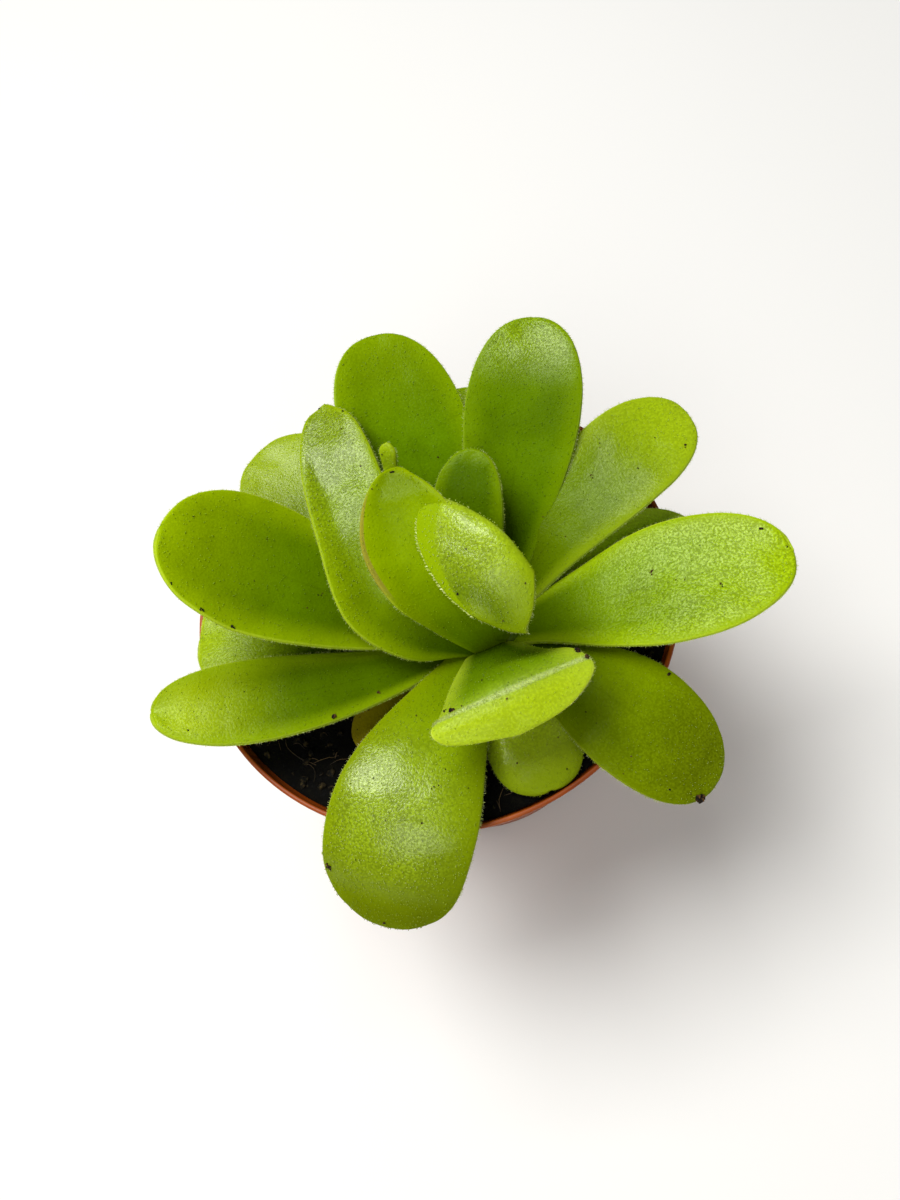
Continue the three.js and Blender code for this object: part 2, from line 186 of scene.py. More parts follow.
# A leaf is a little uneven: its margins wave more than its middle. Heights and sizes of the waves.
MARGIN_WAVES = Values(height=0.42, size=8.0)
DENTS = Values(height=0.12, size=3.2)

# How a leaf thins: the share lost to the margins, to the tip and at the last edge, the share that
# is always kept, and the length over which the tip thins.
THINNING = Values(margins=0.82, tip=0.5, edge=0.7, kept=0.25, tip_reach=6)

# Hairs and sticky glands. A spread is the least and the most of a length, against the usual one;
# lean is how unevenly they stand, and sunk how deep they start in the leaf.
GLANDS_PER_MM2 = (0.6, 1.7)  # on a dull leaf and on the stickiest
GLAND = Values(
    head=0.08, head_spread=(0.6, 1.3), stalk=0.12, stalk_spread=(0.5, 1.4), stalk_width=0.03,
    lean=0.25, sunk=0.03
)
FRINGE = Values(spacing=0.15, length=0.36, spread=(0.5, 1.3), width=0.028, lean=0.32, start=0.12)
BRISTLES = Values(
    spacing=0.4, shift=0.12, length=0.5, spread=(0.6, 1.15), width=0.12, head=0.11,
    lean=0.2, sunk=0.1, start=0.3
)
RIDGE_HAIRS = Values(
    count=1000, along=0.5, reach=0.014, inset=0.3, length=(0.2, 0.45), width=FRINGE.width * 1.3,
    lean=0.4, sunk=0.03
)

# Specks of peat that were splashed onto a leaf, and little heaps of crumbs on it: how far across
# (-1 to 1) and along it each heap lies, and how wide it is.
SPECKS = Values(count=7, radius=(0.05, 0.15))
HEAP = Values(crumbs=5, shift=0.3, spread=(0.25, 0.8))
HEAPS_ON_LEAVES = {
    "leaf_heart": [(-0.9, 0.42, 0.7), (-0.6, 0.9, 0.35)],
    "leaf_cupped": [(-0.2, 0.93, 0.6), (0.5, 0.45, 0.4)],
    "leaf_tall_left": [(0.9, 0.93, 0.4), (-0.6, 0.97, 0.4)],
    "leaf_folded_front": [(0.97, 0.5, 1.0), (0.98, 0.6, 0.9), (-0.75, 0.56, 0.8), (-0.9, 0.5, 0.4)],
    "leaf_right": [(0.75, 0.93, 0.7), (0.2, 0.55, 0.5), (-0.3, 0.75, 0.35)],
    "leaf_front_right": [(-0.8, 0.975, 1.7), (0.9, 0.62, 0.6)],
    "leaf_front": [(-0.9, 0.78, 0.8), (-0.2, 0.95, 0.5), (0.3, 0.5, 0.35)],
    "leaf_left_broad": [(0.97, 0.8, 0.4), (0.97, 0.72, 0.5), (0.95, 0.9, 0.35), (0.1, 0.5, 0.4)],
    "leaf_left_narrow": [(0.9, 0.5, 0.9), (0.7, 0.35, 0.6)],
    "leaf_back_right": [(-0.7, 0.9, 0.5), (0.2, 0.6, 0.35)],
    "leaf_old": [(-0.5, 0.55, 1.0), (0.1, 0.5, 1.3), (0.5, 0.6, 0.8)],
}

# How each leaf looks, in the order in which the leaves are dressed.
LOOK_OF = {
    "leaf_inner_right": "inner green",
    "leaf_right": "bright green",
    "leaf_back_left": "plain green",
    "leaf_back": "pale-tipped green",
    "leaf_left_broad": "shaded green",
    "leaf_back_right": "soft green",
    "leaf_left_narrow": "bright-tipped green",
    "leaf_front": "olive-tipped green",
    "leaf_front_right": "olive green",
    "leaf_low_right": "low green",
    "leaf_low_back_left": "pale green",
    "leaf_low_left": "soft green",
    "leaf_low_back": "plain green",
    "leaf_small_front": "glossy green",
    "leaf_old": "withered",
    "leaf_heart": "heart green",
    "leaf_cupped": "blushed green",
    "leaf_tall_left": "young green",
    "leaf_curled_tip": "soft green",
    "leaf_folded_front": "folded green",
}

# How each kind of leaf looks. Places along a leaf run from 0 at its foot to 1 at its tip, and across it
# from 0 to 1.
# colours: those of its foot, blade, tip and margin, in steps of 0 to 255; the darker foot is painted shade
# where the leaves crowd at the crown.
# turning: from where to where along the leaf the tip's colour takes over.
# glaze: how much sticky coat it has at most, from where to where along it the coat sets in and, if it
#   ends again, from where to where.
# grainy: how strongly the grain shows, with its painted glints. shine: how rough the coat is. glow: how much
# light the flesh carries.
# shady: how much darker, as painted shade, and duller one side is, and from where to where across the leaf that
# sets in.
# edge: the colour, width, start and end of a band on the left margin: on the cupped leaf a real blush, on the
# heart a painted glow of light shining through its rolled margin. fold: where a downy ridge runs, with a
# painted lighter band beside it.
USUAL_LOOK = dict(
    turning=(0.55, 1.0), glaze=(0.6, 0.25, 0.75), grainy=1.0, shine=0.22, glow=0.25,
    shady=None, edge=None, fold=None
)
NEVER_ENDS = (1.5, 2.0)  # past the tip
LEAF_LOOKS = {
    "plain green": dict(
        colours=((66, 98, 0), (88, 122, 0), (112, 140, 0), (128, 158, 0)), glaze=(0.14, 0.3, 0.8)
    ),
    "shaded green": dict(
        colours=((10, 28, 0), (84, 114, 0), (134, 162, 0), (152, 180, 4)), glaze=(0.1, 0.3, 0.8)
    ),
    "inner green": dict(
        colours=((66, 96, 0), (76, 106, 0), (80, 110, 0), (124, 154, 0)), glaze=(0.1, 0.3, 0.8)
    ),
    # Painted light: its colours are made lighter against the shade that falls on it behind the right leaf.
    "low green": dict(
        colours=((110, 140, 4), (146, 180, 16), (150, 182, 30), (170, 194, 50)), glaze=(0.3, 0.3, 0.8)
    ),
    "pale-tipped green": dict(
        colours=((68, 100, 0), (82, 112, 0), (134, 162, 6), (114, 144, 0)), turning=(0.7, 1.0),
        glaze=(0.55, 0.74, 0.92)
    ),
    "bright green": dict(
        colours=((80, 108, 0), (120, 150, 0), (150, 180, 4), (154, 182, 10)), glaze=(0.36, 0.1, 0.7),
        grainy=1.5
    ),
    "bright-tipped green": dict(
        colours=((66, 92, 0), (74, 100, 0), (168, 192, 10), (140, 168, 6)), glaze=(0.24, 0.4, 0.9),
        shady=(0.9, 0.55, 0.15)
    ),
    "young green": dict(
        colours=((66, 94, 0), (118, 144, 2), (120, 144, 0), (142, 168, 2)),
        glaze=(0.8, 0.3, 0.75, 0.85, 1.08), grainy=0.75
    ),
    "pale green": dict(colours=((84, 108, 0), (98, 122, 4), (150, 174, 20), (146, 170, 30)), grainy=0.3),
    "soft green": dict(
        colours=((84, 108, 0), (96, 122, 2), (152, 178, 14), (144, 168, 20)), glaze=(0.3, 0.25, 0.75),
        grainy=0.9
    ),
    "olive-tipped green": dict(
        colours=((110, 136, 0), (130, 154, 10), (106, 122, 0), (120, 140, 0)),
        glaze=(1.0, 0.28, 0.55, 0.7, 0.86), grainy=0.8, shady=(0.6, 0.6, 0.9)
    ),
    "olive green": dict(
        colours=((56, 82, 0), (106, 128, 0), (100, 116, 0), (118, 138, 0)), glaze=(0.25, 0.3, 0.8),
        grainy=1.5
    ),
    # Painted light: its colours are made lighter against the shadow that the folded leaf casts on it.
    "glossy green": dict(
        colours=((142, 166, 16), (154, 176, 26), (144, 166, 20), (130, 152, 16)),
        glaze=(0.9, 0.1, 0.3, 0.6, 0.95), grainy=0.5, shine=0.14
    ),
    # The heart's left band is a painted glow, and one side of it carries painted shade.
    "heart green": dict(
        colours=((98, 128, 0), (148, 174, 20), (88, 112, 0), (146, 172, 10)),
        glaze=(0.95, 0.25, 0.65, 0.75, 1.15), grainy=0.65, shady=(0.85, 0.5, 0.9),
        edge=((136, 164, 4), 0.17, 0.3, 1.2)
    ),
    "blushed green": dict(
        colours=((112, 144, 0), (128, 156, 0), (104, 128, 0), (144, 170, 0)), glaze=(0.1, 0.5, 0.8),
        edge=((150, 140, 50), 0.05, 0.4, 0.85)
    ),
    # Painted light and shade: the blade up to the fold is darkened as the shade of the leaves above it, and the
    # flap past it is bright as a painted glow of light shining through.
    "folded green": dict(
        colours=((72, 100, 0), (100, 130, 6), (166, 190, 22), (176, 200, 44)), turning=(0.59, 0.65),
        glaze=(0.2, 0.3, 0.5), glow=0.4, fold=0.605
    ),
    "withered": dict(
        colours=((104, 102, 0), (132, 126, 6), (140, 132, 10), (130, 116, 20)), glaze=(0.1, 0.3, 0.5),
        glow=0.1
    ),
}

random_numbers = np.random.default_rng(SEED)


# ---------------------------------------------------------------- modelling helpers


def start_clean():
    """Leaves nothing selected, so that the next operator acts on its own piece only."""
    if bpy.context.object and bpy.context.object.mode != "OBJECT":
        bpy.ops.object.mode_set(mode="OBJECT")
    bpy.ops.object.select_all(action="DESELECT")


def basic_shape(name, add, **sizes):
    """One of the basic shapes, with its place settled into its mesh."""
    start_clean()
    add(**sizes)
    piece = bpy.context.active_object
    piece.name = name
    piece.data.name = name
    bpy.ops.object.transform_apply(location=True, rotation=True, scale=True)
    return piece


def placed(name, data):
    """A new piece of the scene that holds the data."""
    piece = bpy.data.objects.new(name, data)
    bpy.context.scene.collection.objects.link(piece)
    return piece


def choose(piece):
    """Makes a piece the only one that the next operator acts on."""
    start_clean()
    piece.select_set(True)
    bpy.context.view_layer.objects.active = piece


def apply_modifiers(piece):
    choose(piece)
    for modifier in list(piece.modifiers):
        bpy.ops.object.modifier_apply(modifier=modifier.name)


def smooth_shading(piece, sharp_angle=None):
    """Shades a piece smoothly; edges sharper than the angle, in degrees, stay crisp."""
    choose(piece)
    if sharp_angle is None:
        bpy.ops.object.shade_smooth()
    else:
        bpy.ops.object.shade_smooth_by_angle(angle=math.radians(sharp_angle))


def settle(piece, finish, node=None):
    """Gives a finished piece its material and its body, and hides the solid it stands for."""
    piece.data.materials.clear()
    piece.data.materials.append(finish)
    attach(piece, "root")
    if node:
        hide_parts(node)
    return piece


def turned(name, profile, sides):
    """A round closed piece, drawn ring by ring along a profile of (radius, height)."""
    radius, height = profile[0]
    circle = bpy.ops.mesh.primitive_circle_add
    piece = basic_shape(name, circle, vertices=sides, radius=radius * MM, location=(0, 0, height * MM))
    bpy.ops.object.mode_set(mode="EDIT")
    bpy.ops.mesh.select_all(action="SELECT")
    for next_radius, next_height in profile[1:]:
        rise = (0, 0, (next_height - height) * MM)
        bpy.ops.mesh.extrude_region_move(TRANSFORM_OT_translate={"value": rise})
        growth = next_radius / radius
        bpy.ops.transform.resize(value=(growth, growth, 1), center_override=(0, 0, next_height * MM))
        radius, height = next_radius, next_height
    bpy.ops.mesh.select_all(action="SELECT")
    bpy.ops.mesh.fill_holes(sides=0)
    bpy.ops.mesh.select_all(action="SELECT")
    bpy.ops.mesh.normals_make_consistent(inside=False)
    bpy.ops.object.mode_set(mode="OBJECT")
    return piece


def points_of(piece):
    """The places of a piece's points, as an array."""
    found = np.empty(len(piece.data.vertices) * 3)
    piece.data.vertices.foreach_get("co", found)
    return found.reshape(-1, 3)


def unit(vectors):
    """The same ways, each 1 long."""
    return vectors / np.maximum(np.linalg.norm(vectors, axis=-1, keepdims=True), 1e-9)


def copies(name, pattern, places, axes, lengths, widths, leaf_places=None):
    """One mesh with a copy of a small pattern piece at each place (mm), its Z along the axis there.
    leaf_places: where on its leaf each copy stands, kept as its place in the UV map."""
    model = points_of(pattern)
    faces = [tuple(face.vertices) for face in pattern.data.polygons]
    count = len(places)
    spin = random_numbers.uniform(0, 2 * math.pi, count)[:, None]
    side = unit(np.cross(axes, (0.31, 0.57, 0.76)))
    other = np.cross(axes, side)
    first = side * np.cos(spin) + other * np.sin(spin)
    second = np.cross(axes, first)
    widths = np.broadcast_to(widths, count)[:, None, None]
    lengths = np.broadcast_to(lengths, count)[:, None, None]
    spots = (
        places[:, None, :]
        + first[:, None, :] * model[None, :, 0:1] * widths
        + second[:, None, :] * model[None, :, 1:2] * widths
        + axes[:, None, :] * model[None, :, 2:3] * lengths
    )
    mesh = bpy.data.meshes.new(name)
    every_face = [tuple(i * len(model) + k for k in face) for i in range(count) for face in faces]
    mesh.from_pydata((spots.reshape(-1, 3) * MM).tolist(), [], every_face)
    if leaf_places is not None:
        corners = sum(len(face) for face in faces)
        layer = mesh.uv_layers.new(name="leaf")
        layer.data.foreach_set("uv", np.repeat(leaf_places, corners, axis=0).ravel())
    return placed(name, mesh)


def distances(points, axis=0):
    """How far along its line each point lies from the line's first."""
    steps = np.linalg.norm(np.diff(points, axis=axis), axis=-1)
    start = np.zeros_like(np.take(steps, [0], axis=axis))
    return np.concatenate([start, np.cumsum(steps, axis=axis)], axis=axis)


def read_off(spots, distance, values):
    """Rows of values that are known at some distances along a line, read off at other spots on it."""
    return np.stack([np.interp(spots, distance, column) for column in values.T], axis=1)


def joined(name, parts):
    """The parts as one piece."""
    if len(parts) == 1:
        return parts[0]
    start_clean()
    for part in parts:
        part.select_set(True)
    bpy.context.view_layer.objects.active = parts[0]
    bpy.ops.object.join()
    parts[0].name = name
    parts[0].data.name = name
    return parts[0]


# ---------------------------------------------------------------- finishes

FLESH_RADIUS = (1.0, 1.0, 0.1)  # how far red, green and blue light goes in a leaf, against each other
LEAF_DOWN = 0.33  # sizes and heights of what makes a leaf's surface uneven
LEAF_BEADS = 0.44
GRAIN_HEIGHT = 0.02
STREAK_HEIGHT = 0.05
SWELLS = Values(size=7, height=0.5)


def colour(red, green, blue):
    """A colour in steps of 0 to 255, as the linear values that a shader takes."""
    steps = [value / 255 for value in (red, green, blue)]
    return tuple(s / 12.92 if s <= 0.04045 else ((s + 0.055) / 1.055) ** 2.4 for s in steps) + (1,)


class Finish:
    """A node material under construction."""

    def __init__(self, name, **sockets):
        self.material = bpy.data.materials.new(name)
        self.material.use_nodes = True
        self.tree = self.material.node_tree
        self.shader = self.tree.nodes["Principled BSDF"]
        self.place = self.add("TexCoord").outputs["Object"]
        for socket, value in sockets.items():
            self.shader.inputs[socket.replace("_", " ")].default_value = value

    def add(self, kind, sockets=None, **settings):
        node = self.tree.nodes.new("ShaderNode" + kind)
        for key, value in settings.items():
            setattr(node, key, value)
        for key, value in (sockets or {}).items():
            self.feed(node.inputs[key], value)
        return node

    def feed(self, socket, value):
        if isinstance(value, bpy.types.NodeSocket):
            self.tree.links.new(value, socket)
        else:
            socket.default_value = value

    def calc(self, operation, first, second=0.0):
        return self.add("Math", {0: first, 1: second}, operation=operation).outputs[0]

    def times(self, first, second):
        return self.calc("MULTIPLY", first, second)

    def scaled(self, value, factor, offset=0.0):
        sockets = {0: value, 1: factor, 2: offset}
        return self.add("Math", sockets, operation="MULTIPLY_ADD").outputs[0]

    def clouds(self, size, detail=2.0, roughness=0.5):
        """Noise whose patches are about size millimetres across."""
        sockets = {"Vector": self.place, "Scale": 1 / (size * MM), "Detail": detail, "Roughness": roughness}
        return self.add("TexNoise", sockets).outputs[0]

    def find_place(self):
        """Finds where a point is on its leaf: across and along it, 0 to 1, and how far off its midrib."""
        self.uv = self.add("UVMap", uv_map="leaf").outputs[0]
        split = self.add("SeparateXYZ", {0: self.uv})
        self.across, self.along = split.outputs[0], split.outputs[1]
        self.outwards = self.calc("ABSOLUTE", self.scaled(self.across, 2.0, -1.0))

    def streaks(self):
        """Faint streaks that run along a leaf."""
        stretched = self.add("Mapping", {"Vector": self.uv, "Scale": (26, 2.5, 1)}).outputs[0]
        return self.add("TexNoise", {"Vector": stretched, "Scale": 1, "Detail": 3}).outputs[0]

    def dots(self, size):
        """How far a point is from the middle of its dot."""
        sockets = {"Vector": self.place, "Scale": 1 / (size * MM)}
        return self.add("TexVoronoi", sockets).outputs["Distance"]

    def ramp(self, value, low, high, most=None):
        """0 below low, 1 or the most above high, and smooth between them."""
        sockets = {"Value": value, "From Min": low, "From Max": high}
        share = self.add("MapRange", sockets, interpolation_type="SMOOTHSTEP").outputs[0]
        return self.scaled(share, most) if most else share

    def mix(self, first, second, share):
        return self.add("Mix", {0: share, 6: first, 7: second}, data_type="RGBA").outputs[2]

    def shaded(self, tint, share):
        """The same colour, darker or lighter."""
        sockets = {0: 1.0, 6: tint, 7: (share, share, share, 1)}
        return self.add("Mix", sockets, data_type="RGBA", blend_type="MULTIPLY").outputs[2]

    def raised(self, height, distance, strength=1.0, before=None):
        """Relief: height times distance millimetres."""
        sockets = {"Height": height, "Distance": distance * MM, "Strength": strength}
        if before is not None:
            sockets["Normal"] = before
        return self.add("Bump", sockets).outputs[0]

    def start_colour(self, first, second, share):
        self.skin = self.mix(colour(*first), colour(*second), share)

    def wash(self, tint, share):
        """Lays a tint over the colour so far."""
        self.skin = self.mix(self.skin, colour(*tint), share)

    def shade(self, light, share):
        """Makes the colour so far darker or lighter."""
        self.skin = self.mix(self.skin, self.shaded(self.skin, light), share)

    def paint(self, socket, value):
        self.feed(self.shader.inputs[socket], value)

    def done(self):
        """The material, with the colour that was built up on it."""
        self.paint("Base Color", self.skin)
        return self.material


def tint_leaf(finish, look):
    """The colour of a leaf from its foot to its tip and out to its margin, with painted shade at its foot and
    painted light along its very edge.
    """
    foot, blade, tip, margin = look.colours
    lighter = tuple(min(value * 1.08 + 3, 255) if value > 20 else value for value in blade)
    finish.start_colour(blade, lighter, finish.ramp(finish.clouds(9, 3), 0.36, 0.66))
    # Painted shade: the foot's darker colour stands for the shade among the crowded leaf bases.
    finish.skin = finish.mix(colour(*foot), finish.skin, finish.ramp(finish.along, 0.08, 0.6))
    finish.wash(tip, finish.ramp(finish.along, *look.turning))
    rim = finish.calc("MAXIMUM", finish.ramp(finish.outwards, 0.5, 1.0), finish.ramp(finish.along, 0.88, 1.0))
    finish.wash(margin, finish.scaled(rim, 0.65))
    # Painted rim light: a thin paler line at the very edge, partly the pale down there and partly light caught
    # along the edge.
    paler = tuple(min(value + grow, 255) for value, grow in zip(margin, (30, 26, 44)))
    finish.wash(paler, finish.ramp(finish.outwards, 0.965, 1.0, 0.6))


def glaze_share(finish, look):
    """0 where a leaf is dull and 1 where its sticky coat is thickest, away from its margins."""
    start, full, fading, dull = (*look.glaze[1:], *NEVER_ENDS)[:4]
    share = finish.times(finish.ramp(finish.along, start, full), finish.ramp(finish.along, dull, fading))
    share = finish.times(share, finish.scaled(finish.ramp(finish.outwards, 1.0, 0.78), 0.8, 0.2))
    # The side with painted shade gets less coat as well.
    if look.shady:
        most, *reach = look.shady
        share = finish.times(share, finish.scaled(finish.ramp(finish.across, *reach), -most, 1.0))
    return share


def edge_band(finish, width, start, end):
    """1 on a band along a leaf's left margin."""
    sides, foot = finish.ramp(finish.across, width, width * 0.8), finish.ramp(finish.along, start, start + 0.1)
    return finish.times(finish.times(sides, foot), finish.ramp(finish.along, end, end - 0.1))


def leaf_grain(finish):
    """Fine grain, 0 to 1: rounded beads of sap among uneven down."""
    down, beads = finish.clouds(LEAF_DOWN, 1, 0.5), finish.dots(LEAF_BEADS)
    grain = finish.calc("ADD", down, finish.scaled(beads, -0.45, 0.2))
    return finish.ramp(grain, 0.22, 0.76)


def leaf_finish(name, look):
    """Fleshy leaf: smooth flesh under a sticky coat that fine hairs and glands make grainy; its colour also
    carries painted shade, glow and glints.
    """
    finish = Finish(
        "leaf, " + name,
        Roughness=0.6,
        Specular_IOR_Level=0.0,
        Subsurface_Weight=look.glow,
        Subsurface_Radius=FLESH_RADIUS,
        Subsurface_Scale=1.2 * MM,
        Coat_Roughness=look.shine,
        Coat_IOR=1.42,
    )
    finish.find_place()
    tint_leaf(finish, look)
    sticky = glaze_share(finish, look)
    # Painted shade: one side of the leaf is made darker, as if turned away from the light.
    if look.shady:
        most, *reach = look.shady
        finish.shade(0.4, finish.ramp(finish.across, *reach, 0.3 * most))
    # On the heart this band is painted glow, light shining through the rolled margin; on the cupped leaf it is
    # a real blush.
    if look.edge:
        tint, *reach = look.edge
        band = edge_band(finish, *reach)
        finish.wash(tint, finish.scaled(band, 0.85))
        sticky = finish.times(sticky, finish.scaled(band, -0.9, 1.0))
    if look.fold:
        beside = finish.calc("ABSOLUTE", finish.scaled(finish.along, 1.0, -look.fold))
        # Painted light: a wide lighter band beside the ridge lifts the shade of the fold.
        finish.wash((150, 176, 44), finish.ramp(beside, 0.15, 0.0, 0.5))
        # The narrow pale band is the down along the ridge.
        finish.wash((188, 206, 124), finish.ramp(beside, 0.035, 0.0, 0.85))
    # Painted shade: a faint darker line in the groove of the midrib.
    midrib_crease_shade = finish.times(finish.ramp(finish.outwards, 0.035, 0.0), finish.ramp(finish.along, 0.85, 0.5))
    finish.shade(0.82, finish.times(midrib_crease_shade, finish.clouds(5, 2)))
    most, grainy, grain = look.glaze[0], look.grainy, leaf_grain(finish)
    # Grain in the colour, partly the real beads and down, partly painted glints: it is strongest where the
    # coat's sheen is.
    grain_and_glints = finish.mix(finish.shaded(finish.skin, 0.58), finish.shaded(finish.skin, 1.42), grain)
    finish.skin = finish.mix(finish.skin, grain_and_glints, finish.scaled(sticky, min(1.1 * most, 0.8) * grainy, 0.05))
    finish.wash((60, 74, 6), finish.ramp(finish.clouds(1.1, 3, 0.7), 0.66, 0.8, 0.12))
    coat = finish.scaled(sticky, most - 0.02, 0.02)
    finish.paint("Coat Weight", finish.times(coat, finish.scaled(grain, 0.8 * grainy, 1 - 0.4 * grainy)))
    swells = finish.raised(finish.clouds(SWELLS.size, 1.5), SWELLS.height)
    bumpy = finish.raised(grain, GRAIN_HEIGHT, 1.0, swells)
    finish.paint("Normal", finish.raised(finish.streaks(), STREAK_HEIGHT, 0.6, bumpy))
    finish.paint("Coat Normal", bumpy)
    return finish.done()


def gland_finish(name, look):
    """Drops of clear sap: they have the tint of the leaf below, painted lighter against the shade on their own
    round sides, and paler still in the leaf's sheen, as a painted sheen.
    """
    finish = Finish(
        "glands, " + name,
        Roughness=0.35,
        Specular_IOR_Level=0.3,
        Subsurface_Weight=0.3,
        Subsurface_Radius=FLESH_RADIUS,
        Subsurface_Scale=0.4 * MM,
    )
    finish.find_place()
    tint_leaf(finish, look)
    # Painted light: the drops are made a quarter lighter than the leaf below.
    finish.skin = finish.shaded(finish.skin, 1.25)
    # Painted sheen: paler where the leaf's coat shines.
    finish.wash((214, 224, 150), finish.scaled(glaze_share(finish, look), 0.5 * look.glaze[0]))
    return finish.done()


def mottled(name, patches, reach, dark, light, relief=None, **sockets):
    """A finish that drifts between two colours.
    patches: their size and detail. reach: from where to where in the clouds the colour turns.
    relief: the size and height of fine lumps."""
    finish = Finish(name, **sockets)
    finish.start_colour(dark, light, finish.ramp(finish.clouds(*patches), *reach))
    if relief:
        size, height = relief
        finish.paint("Normal", finish.raised(finish.clouds(size, 3), height, 0.8))
    return finish


def pot_finish():
    """Terracotta-coloured plastic, satin, with faint scuffs and dried-on peat dust."""
    finish = Finish(
        "terracotta plastic", Specular_IOR_Level=0.3, Subsurface_Weight=0.08, Subsurface_Scale=0.8 * MM
    )
    finish.start_colour((144, 64, 10), (164, 78, 18), finish.ramp(finish.clouds(14, 3), 0.35, 0.65))
    finish.wash((70, 44, 30), finish.ramp(finish.clouds(3.2, 6, 0.72), 0.56, 0.7, 0.28))
    finish.wash((170, 96, 52), finish.ramp(finish.clouds(0.8, 4, 0.7), 0.62, 0.75, 0.35))
    finish.paint("Roughness", finish.scaled(finish.clouds(1.5, 4, 0.6), 0.3, 0.3))
    finish.paint("Normal", finish.raised(finish.clouds(0.9, 3, 0.6), 0.05, 0.8))
    return finish.done()


def peat_finish():
    finish = Finish("damp peat", Specular_IOR_Level=0.15)
    lumps = finish.clouds(1.6, 6, 0.7)
    finish.start_colour((3, 3, 2), (16, 14, 7), finish.ramp(lumps, 0.42, 0.72))
    finish.wash((66, 48, 28), finish.ramp(finish.clouds(0.5, 4, 0.7), 0.68, 0.82))
    finish.paint("Roughness", finish.ramp(lumps, 0.2, 0.5))
    finish.paint("Normal", finish.raised(finish.clouds(0.7, 6, 0.75), 0.5, 1.0))
    return finish.done()


def crumb_finish():
    clods = (0.9, 3, 0.6)
    finish = mottled("peat crumbs", clods, (0.42, 0.75), (6, 6, 3), (68, 56, 30), Specular_IOR_Level=0.2)
    finish.paint("Roughness", finish.ramp(finish.clouds(0.8, 3), 0.2, 0.5))
    finish.paint("Normal", finish.raised(finish.clouds(0.3, 4, 0.7), 0.15, 1.0))
    return finish


def small_finishes():
    """The finishes of what is strewn over the leaves and the peat."""
    hair = mottled(
        "leaf hairs", (2,), (0.4, 0.6), (176, 198, 76), (204, 220, 120),
        Roughness=0.35, Subsurface_Weight=0.5, Subsurface_Radius=(0.8, 1.0, 0.4), Subsurface_Scale=0.3 * MM
    )
    speck = mottled(
        "specks of peat", (0.6, 3), (0.42, 0.66), (16, 11, 4), (98, 68, 32), (0.2, 0.05),
        Roughness=0.8, Specular_IOR_Level=0.2
    )
    fibre = mottled("peat fibres", (4, 3), (0.35, 0.65), (30, 22, 12), (92, 72, 40), (0.3, 0.05), Roughness=0.7)
    grain = mottled(
        "pale mineral grains", (0.6, 4, 0.6), (0.35, 0.65), (150, 140, 122), (206, 200, 186), (0.25, 0.1),
        Roughness=0.75
    )
    finishes = dict(hair=hair, speck=speck, crumb=crumb_finish(), fibre=fibre, grain=grain)
    return {name: finish.done() for name, finish in finishes.items()}


def stem_finish():
    return mottled(
        "fleshy stem", (3, 3), (0.35, 0.65), (78, 106, 4), (98, 126, 14), (0.5, 0.08),
        Roughness=0.42, Subsurface_Weight=0.35, Subsurface_Radius=(0.75, 1.0, 0.15), Subsurface_Scale=1.5 * MM
    ).done()


def floor_finish():
    finish = Finish("pale floor", Roughness=0.9)
    shade = finish.ramp(finish.clouds(400, 2), 0.3, 0.7)
    finish.skin = finish.mix((0.86, 0.86, 0.86, 1), (0.88, 0.88, 0.88, 1), shade)
    return finish.done()


# ---------------------------------------------------------------- leaf forms


def smooth_line(points, t):
    """The point at t, 0 to 1, of a smooth line through points that are evenly spaced in t."""
    place = t * (len(points) - 1)
    first = min(int(place), len(points) - 2)
    rest = place - first
    ends = [2 * points[0] - points[1], *points, 2 * points[-1] - points[-2]]
    before, here, there, beyond = ends[first : first + 4]
    pairs = ((before, here), (here, there), (there, beyond))
    steps = [math.sqrt(max(np.linalg.norm(b - a), 1e-8)) for a, b in pairs]
    leave = (here - before) / steps[0] - (there - before) / (steps[0] + steps[1]) + (there - here) / steps[1]
    arrive = (there - here) / steps[1] - (beyond - here) / (steps[1] + steps[2]) + (beyond - there) / steps[2]
    leave, arrive = leave * steps[1], arrive * steps[1]
    return (
        here
        + leave * rest
        + (3 * (there - here) - 2 * leave - arrive) * rest**2
        + (2 * (here - there) + leave + arrive) * rest**3
    )


def eased(value, low=0.0, high=1.0):
    share = min(max((value - low) / (high - low), 0), 1)
    return share * share * (3 - 2 * share)


def between(low, high, share):
    return low + (high - low) * share


def midrib(leaf):
    """Places and axes along the midrib of an arched leaf, in even steps."""
    start = math.radians(leaf["heading"])
    point = np.array((STEM.x, STEM.y, leaf["foot"]), float)
    point += leaf["out"] * np.array((math.cos(start), math.sin(start), 0))
    steps = []
    for i in range(SPINE_STEPS + 1):
        t = i / SPINE_STEPS
        slope = math.radians(between(leaf["rise"], leaf["tip"], eased(t ** leaf["late"])))
        heading = math.radians(leaf["heading"] + leaf["turn"] * t)
        side = Vector((-math.sin(heading), math.cos(heading), 0))
        level = math.cos(slope)
        along = Vector((math.cos(heading) * level, math.sin(heading) * level, math.sin(slope)))
        turn = Matrix.Rotation(math.radians(leaf["roll"]) * eased(t, 0, 0.6), 3, along)
        steps.append((point.copy(), np.array(turn @ side), np.array(turn @ along.cross(side))))
        point += np.array(along) * leaf["length"] / SPINE_STEPS
    return steps


def half_width(leaf, t):
    """Half the width of an arched leaf at the share t of its length."""
    if t < leaf["widest"]:
        return leaf["width"] / 2 * between(leaf["stalk"], 1, eased(t / leaf["widest"]))
    past = (t - leaf["widest"]) / (1 - leaf["widest"])
    return leaf["width"] / 2 * max(1 - past ** leaf["blunt"], 0.0004) ** (1 / leaf["blunt"])


def across_places():
    """Places across a leaf, -1 to 1, closer together at the margins."""
    return [math.sin(math.pi * (j / COLUMNS - 0.5)) for j in range(COLUMNS + 1)]


